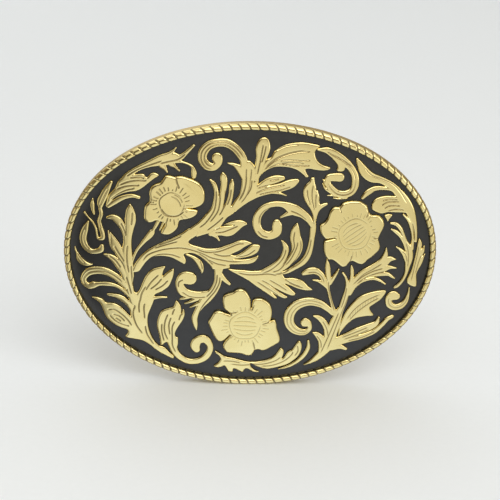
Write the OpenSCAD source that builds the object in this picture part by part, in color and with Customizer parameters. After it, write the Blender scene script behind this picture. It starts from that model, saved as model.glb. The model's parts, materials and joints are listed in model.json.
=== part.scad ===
// Oval dress belt buckle: a domed plate with a black enamel field, a twisted rope edge,
// raised flowers and leaf scrolls, and a swinging belt bail and a hook on the back.
// The buckle stands upright. Its front faces -Y, +X is to the right and +Z is up.
// Everything is drawn lying flat, front up, with the dome's top at the origin.

/* [Face] */
// Width over the rope edge
buckle_w = 95; // [80:0.5:115]
// Height over the rope edge
buckle_h = 71.8; // [60:0.2:86]
// How square the oval is: 2 is an ellipse
squareness = 2.04; // [2:0.01:2.5]
// Radius of the dome at the enamel's face
dome_r = 180; // [140:5:400]

/* [Plate] */
// Thickness of the base plate
plate_t = 2; // [1.4:0.1:3]
// How far the plate's edge stays inside the rope
plate_inset = 0.3; // [0.1:0.1:0.6]
// Thickness of the enamel
enamel_t = 0.3; // [0.2:0.05:0.6]

/* [Relief] */
// Height of the leaves and scrolls over the enamel
leaf_t = 0.6; // [0.4:0.1:1.2]
// Height of the flowers over the enamel
flower_t = 1; // [0.6:0.1:1.8]
// Gap where one piece is cut away around another
seam = 0.04; // [0.02:0.01:0.1]

/* [Rope edge] */
// Width of the rope
rope_w = 1.6; // [1:0.1:2.4]
// Height of the rope over the plate
rope_t = 1.8; // [1.2:0.1:2.6]

/* [Belt bail] */
// Width of the belt
belt_w = 38; // [30:0.5:45.6]
// Room on each side of the belt
belt_room = 1; // [0.5:0.1:2]
// Diameter of the bail's wire
wire_d = 2.8; // [2.3:0.1:3.4]
// Length from the bail's hinge to its far bar
bail_len = 16; // [13:0.5:20]
// Radius of the wire's bends, at its middle
bend_r = 2.4; // [2:0.1:3]
// How far the far bar stays inside the plate's edge
bar_inset = 1.2; // [0.5:0.1:3]
// Gap between the resting wire and the plate's back
bail_gap = 0.5; // [0.3:0.1:1]

/* [Bail lugs] */
// Thickness of each lug along the hinge
lug_t = 3; // [2:0.1:4]
// Wall around the hinge pin
lug_wall = 1.15; // [0.9:0.05:1.6]
// Radial clearance of the hinge pin in its lug
pin_gap = 0.05; // [0.02:0.01:0.1]
// Side play between the bail and a lug
lug_play = 0.3; // [0.2:0.1:0.6]
// How far a hinge pin stands out of its lug
pin_out = 0.5; // [0.2:0.1:1]

/* [Hook] */
// Distance from the plate's end to the middle of the hook's pad
hook_inset = 14; // [10:0.5:20]
// Diameter of the pad
pad_d = 9; // [7:0.5:12]
// Thickness of the pad at its outer edge
pad_t = 1.2; // [0.6:0.1:1.6]
// Diameter of the hook
hook_d = 3.5; // [3:0.1:4.2]
// Straight length at the hook's root
hook_root = 1.2; // [0.8:0.1:3]
// Radius of the hook's bend, at its middle
hook_bend_r = 2.4; // [2:0.1:3.5]
// Angle that the hook bends outwards
hook_bend = 50; // [30:1:70]
// Straight length past the bend
hook_tip = 3; // [2:0.1:5]
// Chamfer at the hook's end
hook_chamfer = 0.6; // [0.3:0.1:1]

/* [Hidden] */
$fn = 96;

// Facets of a wire's section and of a full turn of its bends
wire_facets = 64;
bend_facets = 128;
// Facets of the dome's spheres, and corners of the oval
dome_facets = 512;
oval_corners = 144;
// Steps drawn between two points of an ornament, and facets of a stroke's round end
curve_steps = 3;
end_facets = 14;
// Trim that closes hairline gaps and drops hairline slivers of an ornament
hairline = 0.016;
// Overshoot of a cutting shape past what it cuts
over = 1;

gold = [0.84, 0.77, 0.5];
antique_gold = [0.68, 0.58, 0.36];
enamel_black = [0.19, 0.19, 0.18];

// The oval's half axes: outside of the rope, inside of the rope, and edge of the plate
rope_out = [buckle_w / 2, buckle_h / 2];
rope_in = [rope_out.x - rope_w, rope_out.y - rope_w];
plate_edge = [rope_out.x - plate_inset, rope_out.y - plate_inset];

// The layers, as heights over the dome's sphere
plate_top = -enamel_t;
plate_back = plate_top - plate_t;
rope_top = plate_top + rope_t;

// The ornaments are drawn for an enamel field of this size, and scaled to the real one
drawn_field = [91.4, 68.2];
field_scale = [2 * rope_in.x / drawn_field.x, 2 * rope_in.y / drawn_field.y];
stroke_scale = (field_scale.x + field_scale.y) / 2;

// The bail: half its inside width, its hinge and its far bar
wire_r = wire_d / 2;
arm_y = belt_w / 2 + belt_room + wire_r;
bar_x = oval_x(plate_edge, arm_y + wire_r) - wire_r - bar_inset;
hinge_x = bar_x - bail_len;
hinge_z = dome_z(plate_back, norm([bar_x + wire_r, arm_y + wire_r])) - bail_gap - wire_r;

// The lugs: the outer face, the block's width, and the end of the bail's pin
lug_face = arm_y - bend_r - lug_play;
lug_r = wire_r + pin_gap + lug_wall;
pin_end = lug_face - lug_t - pin_out;

// The hook: its place, the pad's flat, the end of its straight tip, and its lowest edge
hook_r = hook_d / 2;
hook_x = hook_inset - plate_edge.x;
pad_z = dome_z(plate_back, norm([hook_x - pad_d / 2, pad_d / 2])) - pad_t;
tip_z = pad_z - hook_root - hook_bend_r * sin(hook_bend) - hook_tip * cos(hook_bend);
tip_low = tip_z - max(
    hook_r * sin(hook_bend),
    hook_chamfer * cos(hook_bend) + (hook_r - hook_chamfer) * sin(hook_bend)
);

// Half the oval's width at height y, for an oval with these half axes
function oval_x(half, y) = half.x * pow(1 - pow(abs(y) / half.y, squareness), 1 / squareness);

// Height of a dome layer at a distance from its axis
function dome_z(layer, reach) = sqrt(pow(dome_r + layer, 2) - reach * reach) - dome_r;

// Corners of the oval with these half axes: both waves are raised to the power 2 / squareness
function oval(half) = [
    for (i = [0 : oval_corners - 1])
        let (angle = 360 * i / oval_corners)
        [half.x * round_power(cos(angle)), half.y * round_power(sin(angle))]
];
function round_power(wave) = sign(wave) * pow(abs(wave), 2 / squareness);

// A drawn point at the real size: x and y follow the field, a half width follows their mean
function real(point) = [
    point.x * field_scale.x,
    point.y * field_scale.y,
    if (len(point) == 3) point.z * stroke_scale
];

// The curve that passes through b and c, between a and d, at share t of the way from b to c
function between(a, b, c, d, t) =
    (2 * b + t * (c - a) + t * t * (2 * a - 5 * b + 4 * c - d)
        + t * t * t * (3 * b - a - 3 * c + d)) / 2;

// A closed outline, and an open spine, drawn smoothly through their points
function smooth_loop(points) =
    let (p = [for (q = points) real(q)], n = len(p))
    [
        for (i = [0 : n - 1]) for (s = [0 : curve_steps - 1])
            between(p[(i + n - 1) % n], p[i], p[(i + 1) % n], p[(i + 2) % n], s / curve_steps)
    ];
function smooth_spine(points) =
    let (
        p = [for (q = points) real(q)],
        n = len(p),
        q = concat([2 * p[0] - p[1]], p, [2 * p[n - 1] - p[n - 2]])
    )
    [
        for (i = [1 : n - 1]) for (s = [0 : curve_steps - 1])
            between(q[i - 1], q[i], q[i + 1], q[i + 2], s / curve_steps),
        p[n - 1]
    ];

// The two side points of a spine, square to its direction
function sides(spine, i) =
    let (
        ahead = spine[min(i + 1, len(spine) - 1)],
        behind = spine[max(i - 1, 0)],
        along = [ahead.x - behind.x, ahead.y - behind.y],
        across = [-along.y, along.x] / norm(along) * spine[i].z,
        middle = [spine[i].x, spine[i].y]
    )
    [middle + across, middle - across];

// Drawings: each is a list of shapes, and on some a second list that is cut out of the first.
// A shape of [x, y, half width] points is a stroke with round ends; one of [x, y] points is an
// outline. The origin is the middle of the field.
// Tall split sprig with the broad leaf beside the left rim
spray_left_drawing = [
    [
        [[-30.5, 14.3, 0.15], [-30.5, 12.6, 1.05], [-30.4, 10.5, 1.45], [-30.7, 8, 1.15],
         [-31, 5.5, 0.95], [-31.3, 3, 1.2], [-31.3, 0.5, 1.4], [-31.1, -2, 1.4], [-30.8, -4.5, 1.25],
         [-30.7, -7, 1.2], [-30.3, -9.5, 1.2], [-29.2, -12, 1.6]],
        [[-36.3, 10.3, 0.3], [-34.8, 10.5, 0.75], [-33.4, 9.6, 1], [-32.4, 8, 0.8], [-31.8, 6, 0.6],
         [-31.6, 4, 0.7]],
        [[-35.5, 6.4, 0.12], [-34.9, 4.8, 0.75], [-34.2, 3, 1.25], [-33.3, 1.3, 1.2], [-32.3, -0.5, 1],
         [-31.5, -2, 1]],
        [[-36, 6.8, 0.2], [-35.8, 5, 0.25], [-35.4, 3.2, 0.4], [-34.8, 2, 0.5]],
        [[-37.1, 0.3, 0.25], [-35.5, -0.2, 0.75], [-34.2, -1.2, 1], [-33.2, -2.6, 1],
         [-32.3, -4.2, 0.9], [-31.6, -6, 0.9]],
        [[-36.3, -10.9, 0.35], [-34.8, -11, 0.5], [-33, -11.5, 0.75], [-31.3, -12.8, 0.8],
         [-30, -14.5, 0.9], [-29.3, -16.5, 1.2]],
        [[-40.6, -12.1], [-39.2, -12], [-37.8, -12.4], [-36.8, -13.3], [-34.8, -13.3], [-33, -14.2],
         [-31.6, -15.6], [-30.3, -16.7], [-29.8, -15], [-29.6, -12], [-28.9, -9.8], [-28.2, -8.6],
         [-27.5, -6.6], [-26.6, -4.6], [-25.4, -3.1], [-23.8, -2.2], [-21.7, -1.7], [-22.1, -3],
         [-22.3, -4.4], [-21.2, -3.3], [-19.6, -2.2], [-19.5, -3.8], [-20.1, -5.8], [-20.8, -7.3],
         [-22.4, -8.7], [-24.3, -9.9], [-24.5, -11.5], [-25.2, -13.6], [-26, -16], [-26.1, -18.5],
         [-25.6, -21], [-24.5, -23.6], [-23.3, -24.9], [-22.4, -25.2], [-21.6, -25.6], [-20.6, -26.8],
         [-19.4, -28], [-19.6, -28.8], [-21, -28.2], [-23, -27.1], [-24.6, -25.9], [-26, -24.7],
         [-27.6, -23.8], [-29.5, -23.5], [-31.4, -23.3], [-32, -22.8], [-31.4, -21.8], [-31.7, -20.8],
         [-33.8, -20.1], [-35.6, -19], [-36.9, -17.6], [-37.7, -15.6], [-38.4, -13.8], [-39.4, -12.9]],
        [[-27, -12, 0.7], [-24.9, -11, 0.5], [-23, -10.5, 0.35], [-21.3, -10.4, 0.25]]
    ],
    [
        [[-29.1, -9.2, 0.45], [-29.1, -7, 0.75], [-28.5, -5, 0.95], [-27.2, -3.2, 1.1]]
    ]
];
// Curl that runs from the sprig out to the left rim and back
curl_left_drawing = [
    [
        [[-31.5, -8.3, 0.8], [-32.7, -6.9, 1], [-34.6, -5.4, 1], [-36.8, -4.4, 1.05], [-39, -4.3, 1.05],
         [-41.2, -5, 1.05], [-42.5, -6.7, 0.85], [-42.4, -8.2, 0.8], [-41.2, -9, 0.85], [-40, -8.5, 0.9]],
        [[-40.2, -8.7, 0.9], [-38.5, -8.1, 0.55], [-36.5, -7.9, 0.6], [-34.5, -8.1, 0.5],
         [-32.5, -9.2, 0.5], [-30.6, -11.1, 0.45]]
    ]
];
// Small leaf against the left rim
leaf_left_rim_drawing = [
    [
        [[-44.6, 1.8], [-44, 0.4], [-43.2, -0.8], [-42, -2], [-41, -2.5], [-40.1, -2.8], [-41.2, -3.3],
         [-42.5, -3.3], [-43.6, -2.8], [-44.3, -1.7], [-44.4, -0.2], [-44.8, 0.9]]
    ]
];
// Open curl and two side blades at the upper left
curl_upper_left_drawing = [
    [
        [[-41.1, 8.8, 0.25], [-41.9, 6.8, 0.8], [-42.5, 4.5, 0.95], [-42.2, 2.6, 0.9], [-41, 1.1, 0.75],
         [-39.5, 0.85, 0.65], [-38, 1.5, 0.75], [-37.7, 2.5, 0.55]],
        [[-42, 11.1, 0.35], [-41.2, 10.1, 0.25], [-40, 8.8, 0.28], [-39.2, 7.3, 0.3], [-38.9, 5.6, 0.3],
         [-38.7, 4.5, 0.3]],
        [[-38, 12.4, 0.5], [-37.8, 11, 0.5], [-38.3, 9.3, 0.5], [-38, 7.6, 0.55], [-37.5, 6, 0.6],
         [-37.5, 4.8, 0.6], [-38.4, 4.4, 0.35]]
    ]
];
// Layered leaf along the upper left rim
leaf_upper_left_drawing = [
    [
        [[-32.8, 19.6, 0.6], [-31.2, 21.5, 0.75], [-28.6, 23.5, 0.65], [-25.5, 25, 0.9],
         [-22, 26.2, 1.5], [-19.5, 26.8, 1.3]],
        [[-22, 26.8, 0.8], [-20.3, 28, 0.5], [-19.1, 29.3, 0.12]],
        [[-19.5, 26.6, 1.1], [-17.8, 27.1, 0.7], [-16.4, 28.4, 0.5], [-14.8, 30, 0.35]],
        [[-19.3, 26.1, 0.7], [-17.5, 25.8, 0.3], [-16, 25.3, 0.3], [-15, 24.5, 0.45],
         [-14.7, 23.2, 0.72], [-14.7, 22.4, 0.65]],
        [[-22.8, 25, 0.9], [-22, 24.2, 0.6], [-21.3, 23.1, 0.25]],
        [[-20.5, 25.5, 0.9], [-19.5, 24.7, 0.5], [-18.3, 23.6, 0.25]],
        [[-36, 13.3, 0.5], [-34.3, 14.6, 0.65], [-32.2, 15.9, 0.6], [-30, 16.5, 0.5],
         [-28.3, 16.2, 0.45]],
        [[-36.6, 13.2], [-36.3, 15], [-35.8, 16.3], [-35, 17.3], [-34.3, 18.2], [-33.8, 19.4],
         [-33, 20.6], [-31, 21.8], [-29, 22.1], [-27.2, 22.3], [-26.3, 21.5], [-25.5, 22.4],
         [-24.4, 22.8], [-23.3, 22.2], [-24.4, 21.3], [-25.8, 20.1], [-27.3, 18.8], [-28.8, 17.9],
         [-31, 17.4], [-33, 16.6], [-34.5, 15.6], [-35.5, 14.2]],
        [[-38, 12.8, 0.5], [-37.9, 14.2, 0.95], [-37.2, 15.8, 1], [-36.4, 17.5, 0.85],
         [-35.2, 19.6, 0.4]],
        [[-39.9, 15, 0.12], [-40, 13.6, 0.55], [-39.9, 12.2, 0.5], [-39.6, 11, 0.3]]
    ]
];
// Thin stem below the left flower
stem_flower_left_drawing = [
    [
        [[-30.2, -1.8, 0.25], [-29.5, 0.6, 0.35], [-28.6, 2.6, 0.4], [-27, 4.8, 0.55],
         [-25.6, 6.5, 0.8], [-25.1, 7.3, 0.75]],
        [[-25, 7.2, 0.7], [-24.6, 8.1, 0.4], [-24, 9.2, 0.46], [-23.4, 10.5, 0.5]],
        [[-23.1, 8, 0.2], [-22.7, 8.8, 0.3], [-22.1, 10.2, 0.34], [-21.8, 11, 0.34]]
    ]
];
// Branch from the sprig to the leaf tips at the middle
branch_main_drawing = [
    [
        [[-30, -3.8], [-29.6, -2], [-28.8, -0.5], [-27.4, 1.3], [-25.6, 2.9], [-23, 4.5], [-20, 6.1],
         [-17.5, 7.6], [-15.5, 9], [-13.5, 8], [-14.2, 6.8], [-15.3, 6], [-15.8, 5.2], [-15, 4.6],
         [-13.5, 4.2], [-11.8, 3.8], [-9.8, 3.8], [-8, 4.1], [-6.5, 4.7], [-5, 5.3], [-3.5, 6],
         [-2, 6.2], [-0.6, 5.8], [0, 5.4], [-1.4, 4.6], [-3, 3.4], [-5, 2.4], [-4, 2.1], [-2.5, 2.9],
         [-1, 4.1], [0.3, 5.1], [2, 4.9], [2, 4], [1.5, 3], [0.5, 2.3], [-0.8, 1.8], [-2.5, 1.4],
         [-4.5, 1.1], [-2.5, 1], [-0.5, 1.3], [1, 1.8], [1.7, 2.1], [1.5, 1.2], [0.7, 0.3],
         [-0.6, -0.2], [-2.2, -0.3], [-4, -0.4], [-5.4, -0.5], [-5.4, -1.3], [-7.2, -1.8], [-9.6, -1.9],
         [-10.3, -1], [-11.2, 0], [-12.2, 0.9], [-13.3, 1.7], [-14.4, 2.2], [-15.6, 2.3], [-16.9, 1.9],
         [-16.6, 0.8], [-16.4, 0], [-16.8, -0.8], [-17.7, -0.4], [-19, 0.3], [-20.4, 0.9], [-22, 1.1],
         [-23.6, 1], [-25, 0.6], [-26.4, -0.7], [-27.4, -2.2], [-28.4, -3.6]]
    ]
];
// Three upright blades that fan from the branch
leaf_branch_upper_drawing = [
    [
        [[-10.6, 21.6, 0.3], [-9.6, 20.4, 0.6], [-9.1, 18.6, 0.6], [-9.1, 16.5, 0.75], [-9.4, 14, 1.1],
         [-10.5, 11.8, 1.5], [-12.3, 9.7, 1.5], [-14.5, 8.3, 1.2]],
        [[-7.6, 23.5, 0.2], [-7.4, 22.4, 0.85], [-7.2, 20.8, 0.85], [-7.5, 18.5, 0.75], [-7.9, 16, 0.8],
         [-8.6, 13.5, 1.1], [-10.5, 10.5, 1.3]],
        [[-5.2, 21.8, 0.25], [-5.3, 20.3, 0.65], [-5.5, 18, 0.65], [-6, 15.8, 0.75], [-7, 13.3, 1.1],
         [-9, 10.5, 1.4]],
        [[-5.4, 15.2], [-4.9, 14.8], [-4.4, 13.6], [-6, 12.3], [-7.6, 10.9], [-9, 9.3], [-10.5, 8],
         [-12.5, 7.2], [-14, 6.8], [-14, 8.3], [-11, 11], [-9, 13.5], [-7, 15]]
    ]
];
// Small leaf beside the fan, with a slit
leaf_branch_small_drawing = [
    [
        [[-10.8, 8.9], [-8.9, 9.2], [-7, 10.3], [-5.5, 11], [-3.8, 11.5], [-2.2, 11.3], [-1.2, 10.5],
         [-2.3, 9.8], [-3.5, 8.6], [-4.8, 7.5], [-6.3, 7.1], [-7.9, 7.3], [-9.5, 7.1], [-11, 7.3]],
        [[-10, 7.6, 0.5], [-8.9, 6.9, 0.4], [-8.2, 6, 0.25]]
    ],
    [
        [[-9.2, 9.4, 0.14], [-7.6, 9.9, 0.18], [-6.2, 10.1, 0.12], [-4.7, 10.2, 0.04]]
    ]
];
// Curl and tail below the branch, left of the middle
curl_center_drawing = [
    [
        [[-8.2, -1.7, 1.2], [-8.3, -3, 1], [-8.4, -5.5, 1], [-9.3, -7.8, 1.1], [-11, -10, 1.3],
         [-12.4, -12, 1], [-13.5, -14, 0.75], [-14.1, -16, 0.8], [-13.9, -18, 0.65], [-13.6, -19.5, 0.2]],
        [[-7.8, -3.2, 0.7], [-6.8, -4.6, 0.6], [-5.4, -5.9, 0.4]],
        [[-10.5, -8.8, 0.9], [-13, -9.4, 1.1], [-15.5, -9.1, 1.1], [-17.2, -8.4, 1.3], [-18, -6.6, 1.1],
         [-17.5, -5, 1.3], [-16.4, -4.6, 1.75], [-15.4, -4.7, 1.75]],
        [[-15, -9.6, 0.6], [-16.5, -10.3, 0.45], [-17.8, -10.7, 0.25]],
        [[-13.5, -10.4, 0.6], [-15, -11.2, 0.42], [-16.6, -11.9, 0.22]],
        [[-12.4, -11.4, 0.6], [-14, -12.2, 0.42], [-15.2, -12.9, 0.22]],
        [[-16.3, 1.9, 0.3], [-14.9, 1.3, 0.4], [-13.6, 0.3, 0.7], [-12.8, -0.9, 0.75],
         [-12.4, -2.2, 0.5], [-12.4, -3.1, 0.12]]
    ]
];
// Round scroll left of the top
scroll_top_drawing = [
    [
        [[-2.2, 24.5, 1.2], [-2.4, 26.4, 1], [-3.2, 28, 1.1], [-4.8, 29.8, 1.1], [-6.8, 30.9, 1.1],
         [-9, 30.9, 1.05], [-11, 30.2, 1.1], [-12.4, 28.6, 1.2], [-12.6, 26.7, 1.15],
         [-11.5, 25.2, 1.15], [-9.8, 24.9, 0.95], [-8.7, 26, 0.95], [-9, 27.1, 1.35]],
        [[-1.2, 26, 0.7], [-1.2, 24.4, 1.7], [-1.3, 22.5, 1.6], [-1.5, 20, 1.5], [-2.3, 17.8, 1.2],
         [-3.7, 15.9, 1], [-5, 14.6, 0.5]],
        [[-6.3, 25.9, 0.2], [-4.9, 25.6, 0.45], [-3.4, 24.5, 0.9], [-2.2, 22.5, 0.9]],
        [[-5, 14.9], [-3.5, 17], [-1, 19], [0, 21.5], [1.3, 22], [1, 20], [0.8, 18.4], [1, 17.4],
         [-0.4, 16.6], [-2, 15.5], [-3.5, 14.3], [-4.4, 13.6]]
    ]
];
// Bud at the top
bud_top_drawing = [
    [
        [[2.6, 32.1, 0.35], [2.4, 31, 1.45], [2.2, 29.5, 1.8], [1.9, 27.8, 1.4], [1.5, 26, 1.2],
         [1.1, 24.2, 1], [0.6, 22.3, 0.8]]
    ]
];
// Broad leaf right of the top
leaf_top_right_drawing = [
    [
        [[0.6, 21.5], [1.6, 24.6], [3, 26.9], [4.2, 27.6], [5, 29], [6.4, 30], [8, 30.8], [10, 31.2],
         [12, 31.3], [14, 31], [16.3, 30.4], [15.6, 29.6], [15.1, 28.7], [15.4, 27.3], [16.2, 26.2],
         [17.3, 25.5], [19, 24.9], [18.6, 24.3], [17.3, 24.1], [15.5, 24.3], [14, 24.6], [12.9, 24.5],
         [13.2, 23.6], [13.7, 22.7], [13, 22.5], [12, 23.4], [10.8, 24.3], [9.5, 24.8], [8, 25.1],
         [6, 25.2], [4.5, 24.9], [3, 24.1], [1.8, 23]]
    ]
];
// Hooked scroll at the upper right
hook_top_right_drawing = [
    [
        [[15.8, 29.4, 0.3], [18, 29.2, 0.8], [20, 28.1, 1.1], [22, 26.7, 1.1], [24, 24.9, 0.95],
         [25.2, 22.8, 0.95], [25.5, 20.6, 0.95], [24.8, 18.8, 0.95], [23.2, 18, 0.95],
         [21.2, 18.2, 0.9], [19.7, 19.3, 0.9], [18.6, 20.8, 0.8], [18.7, 22.2, 0.9], [20, 22.4, 1.05],
         [21.6, 22.3, 1.1]],
        [[18.4, 28.4], [19.3, 27.2], [20.1, 26.3], [20.8, 25.2], [20.7, 24], [22.4, 23.9], [22.9, 25.2],
         [23.4, 26.2], [21.5, 27.8]],
        [[17.3, 21.9, 0.15], [17.9, 20.9, 0.4], [19, 19.8, 0.5]],
        [[17.2, 20.9, 0.12], [17.9, 19.6, 0.3], [19.4, 18.7, 0.5]],
        [[18.5, 17.8, 0.12], [20, 17.8, 0.3], [21.5, 17.7, 0.4]],
        [[20, 17.1, 0.1], [21.5, 16.9, 0.25], [23.3, 17.1, 0.4]]
    ]
];
// Two narrow leaves below the top
leaf_small_double_drawing = [
    [
        [[-0.5, 18.8, 1.3], [1.5, 20, 0.85], [3.5, 21.4, 0.95], [5.5, 22.1, 1], [7.3, 22.4, 0.55]],
        [[-1.5, 17.1, 1], [1, 18.5, 1.1], [4, 19.4, 1.1], [7, 20.1, 1.15], [9.3, 20.9, 1.15],
         [10.8, 21.6, 0.6]],
        [[4.5, 18.9, 0.5], [6.7, 18.5, 0.3], [8.3, 17.9, 0.12]]
    ]
];
// Upright leaf between the scrolls
leaf_vertical_drawing = [
    [
        [[15.1, 22.5], [14.3, 22.4], [14, 21.6], [13.2, 20.8], [12.6, 19.8], [12.4, 18.6], [12.6, 17.3],
         [13.2, 16], [14, 14.8], [14.7, 13.5], [15.1, 12.2], [15.3, 10.9], [15.8, 10.8], [16.2, 12.4],
         [16.7, 13.8], [17.6, 14.7], [18.7, 15.4], [18.6, 15.9], [17.8, 15.9], [16.9, 15.6],
         [16.6, 16.5], [16.6, 17.6], [16.3, 18.6], [16.1, 19.2], [15.8, 19.2], [15.7, 20], [15.4, 21],
         [15.2, 22]]
    ]
];
// Scroll right of the middle
scroll_center_right_drawing = [
    [
        [[14.8, 10.3, 0.6], [14, 11.8, 0.9], [12.4, 13.2, 1.1], [10.2, 14.3, 1.4], [7.6, 15.6, 0.8],
         [5, 15.7, 0.75], [2.7, 14.6, 0.9], [1.3, 12.6, 1.05], [1.1, 10.3, 1.1], [2.1, 8.3, 1.1],
         [4.2, 7.5, 1.1], [6, 8.3, 1.2], [6.2, 9.8, 1.3], [6.1, 10.8, 1]],
        [[10, 13.8, 0.9], [8.3, 13, 0.5], [7, 12.3, 0.25]]
    ]
];
// Large bent leaf below the scroll
leaf_center_right_drawing = [
    [
        [[15.5, 11.4, 0.35], [15.3, 9.5, 0.8], [15.1, 7, 0.72], [14.8, 4.5, 0.75], [14.2, 2.2, 0.85],
         [13, 0.3, 0.85], [11, -1.2, 0.65], [9, -2.4, 0.5], [6.5, -2.9, 0.35]],
        [[7.4, 6.2, 0.12], [8.2, 5.1, 0.6], [8.6, 3.8, 0.8], [8.2, 2, 0.85], [7.2, 0.4, 0.9],
         [5.6, -1, 0.9], [3, -2.8, 1]],
        [[11.2, 10.5, 0.3], [10.9, 9, 1], [10.9, 7, 1.4], [11.4, 5, 1.5], [11.2, 3, 1.3], [10, 1, 1.05],
         [8.3, -0.8, 0.9], [6, -2.3, 0.8]],
        [[-5.8, -1.6], [-4, -1.8], [-2, -1.9], [0, -2.1], [2, -2], [4, -1.5], [6, -1.4], [8, -3.1],
         [8.8, -4.5], [9, -5.6], [7, -6], [4, -6], [1.5, -5], [0, -5.1], [-2, -4], [-4, -2.9],
         [-5.4, -2.1]],
        [[-1, -3.7, 0.6], [1.5, -5.5, 0.8], [4, -7.5, 0.65], [6, -9.3, 0.4], [6.6, -9.7, 0.2]],
        [[1, -4, 0.8], [4, -6.1, 0.7], [6.4, -8, 0.65], [8.4, -9.3, 0.5], [9.1, -9.5, 0.35]],
        [[3, -3.8, 1], [6, -5.5, 1.1], [8.5, -7, 1.1], [10.4, -8.3, 0.75], [11, -8.6, 0.5]],
        [[5, -3.6, 1.2], [8, -4.7, 0.7], [10.5, -5.2, 1.1], [12.5, -6, 1.25], [14.2, -7, 0.7],
         [15.6, -7.5, 0.2]]
    ]
];
// Sprig of bands and blocks along the right rim
spray_right_rim_drawing = [
    [
        [[25.7, 26.8, 0.35], [26.6, 25.2, 0.85], [27.7, 23.5, 1.2], [29.5, 22, 1.2], [32, 21.2, 0.9],
         [34.5, 19.8, 0.9], [36.7, 17.7, 1.1], [38.5, 15.3, 1.3], [39.9, 12.8, 1.2], [41, 10, 0.8],
         [41.7, 7, 0.5], [41.9, 4.5, 0.4]],
        [[27.5, 16.9, 0.45], [28.8, 18.2, 0.75], [30.5, 19.1, 0.65], [32.7, 19.1, 0.5], [35, 18.6, 0.5],
         [37, 17, 0.8]],
        [[30.2, 15.8], [31.2, 16.7], [33, 17.1], [35.2, 17], [37.5, 16.5], [39.5, 14], [40, 12.2],
         [38, 12.4], [36, 12.6], [34, 12.8], [32.6, 12.5], [31, 13.1], [30, 13.8], [29.9, 14.8]],
        [[38.2, 11.9, 0.25], [39.5, 10.5, 0.4], [40.4, 8.6, 0.45], [40.9, 6.5, 0.35], [41.1, 4.5, 0.4],
         [41, 2.5, 0.55]],
        [[35.1, 9.8, 0.3], [36.6, 9.4, 0.5], [37.7, 8.2, 0.5], [38.5, 6.5, 0.45], [39.3, 4.5, 0.5],
         [40.2, 2.5, 0.9], [40.4, 0, 1.1], [40.2, -2.4, 0.7], [39.9, -4.5, 0.45], [39.1, -6.3, 0.45],
         [37.9, -7.7, 0.5], [37.1, -8.1, 0.3]],
        [[35.3, 8.2, 0.2], [36.6, 7.4, 0.5], [37.9, 6.1, 0.5], [38.8, 4.3, 0.4], [39.6, 2.6, 0.5]],
        [[36.9, 3.3, 0.2], [38, 2.5, 0.4], [39, 1.3, 0.6], [40, -0.5, 0.8]]
    ]
];
// Narrow toothed leaf against the right rim
leaf_right_rim_drawing = [
    [
        [[42.9, 5.1], [42.5, 4.2], [42.2, 1.5], [41.8, -1], [41.3, -3.5], [40.3, -6.9], [42.9, -8.4],
         [42.8, -5], [43.2, -3.6], [44.1, -1.8], [44.7, 0.8], [43.9, 0.1], [44.5, 1.5], [44.3, 3.1],
         [43.6, 2.2], [43.7, 3.8]]
    ]
];
// Bud beside the right flower
bud_right_drawing = [
    [
        [[33.3, 12], [34.3, 12.3], [35.4, 12], [34.7, 11], [34.2, 10.3], [33.8, 11]]
    ]
];
// Cross-hatched leaf at the lower right
leaf_lattice_drawing = [
    [
        [[24.6, -14.6], [26, -12.3], [28, -10.2], [31, -9], [34.9, -8.8], [34, -11], [32.3, -12.4],
         [31, -13.4], [31.4, -14.6], [32.1, -15.9], [30, -16], [27.5, -16.4], [25.6, -17.8], [24, -20],
         [23.2, -21.5], [23.3, -18.5]]
    ]
];
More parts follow.
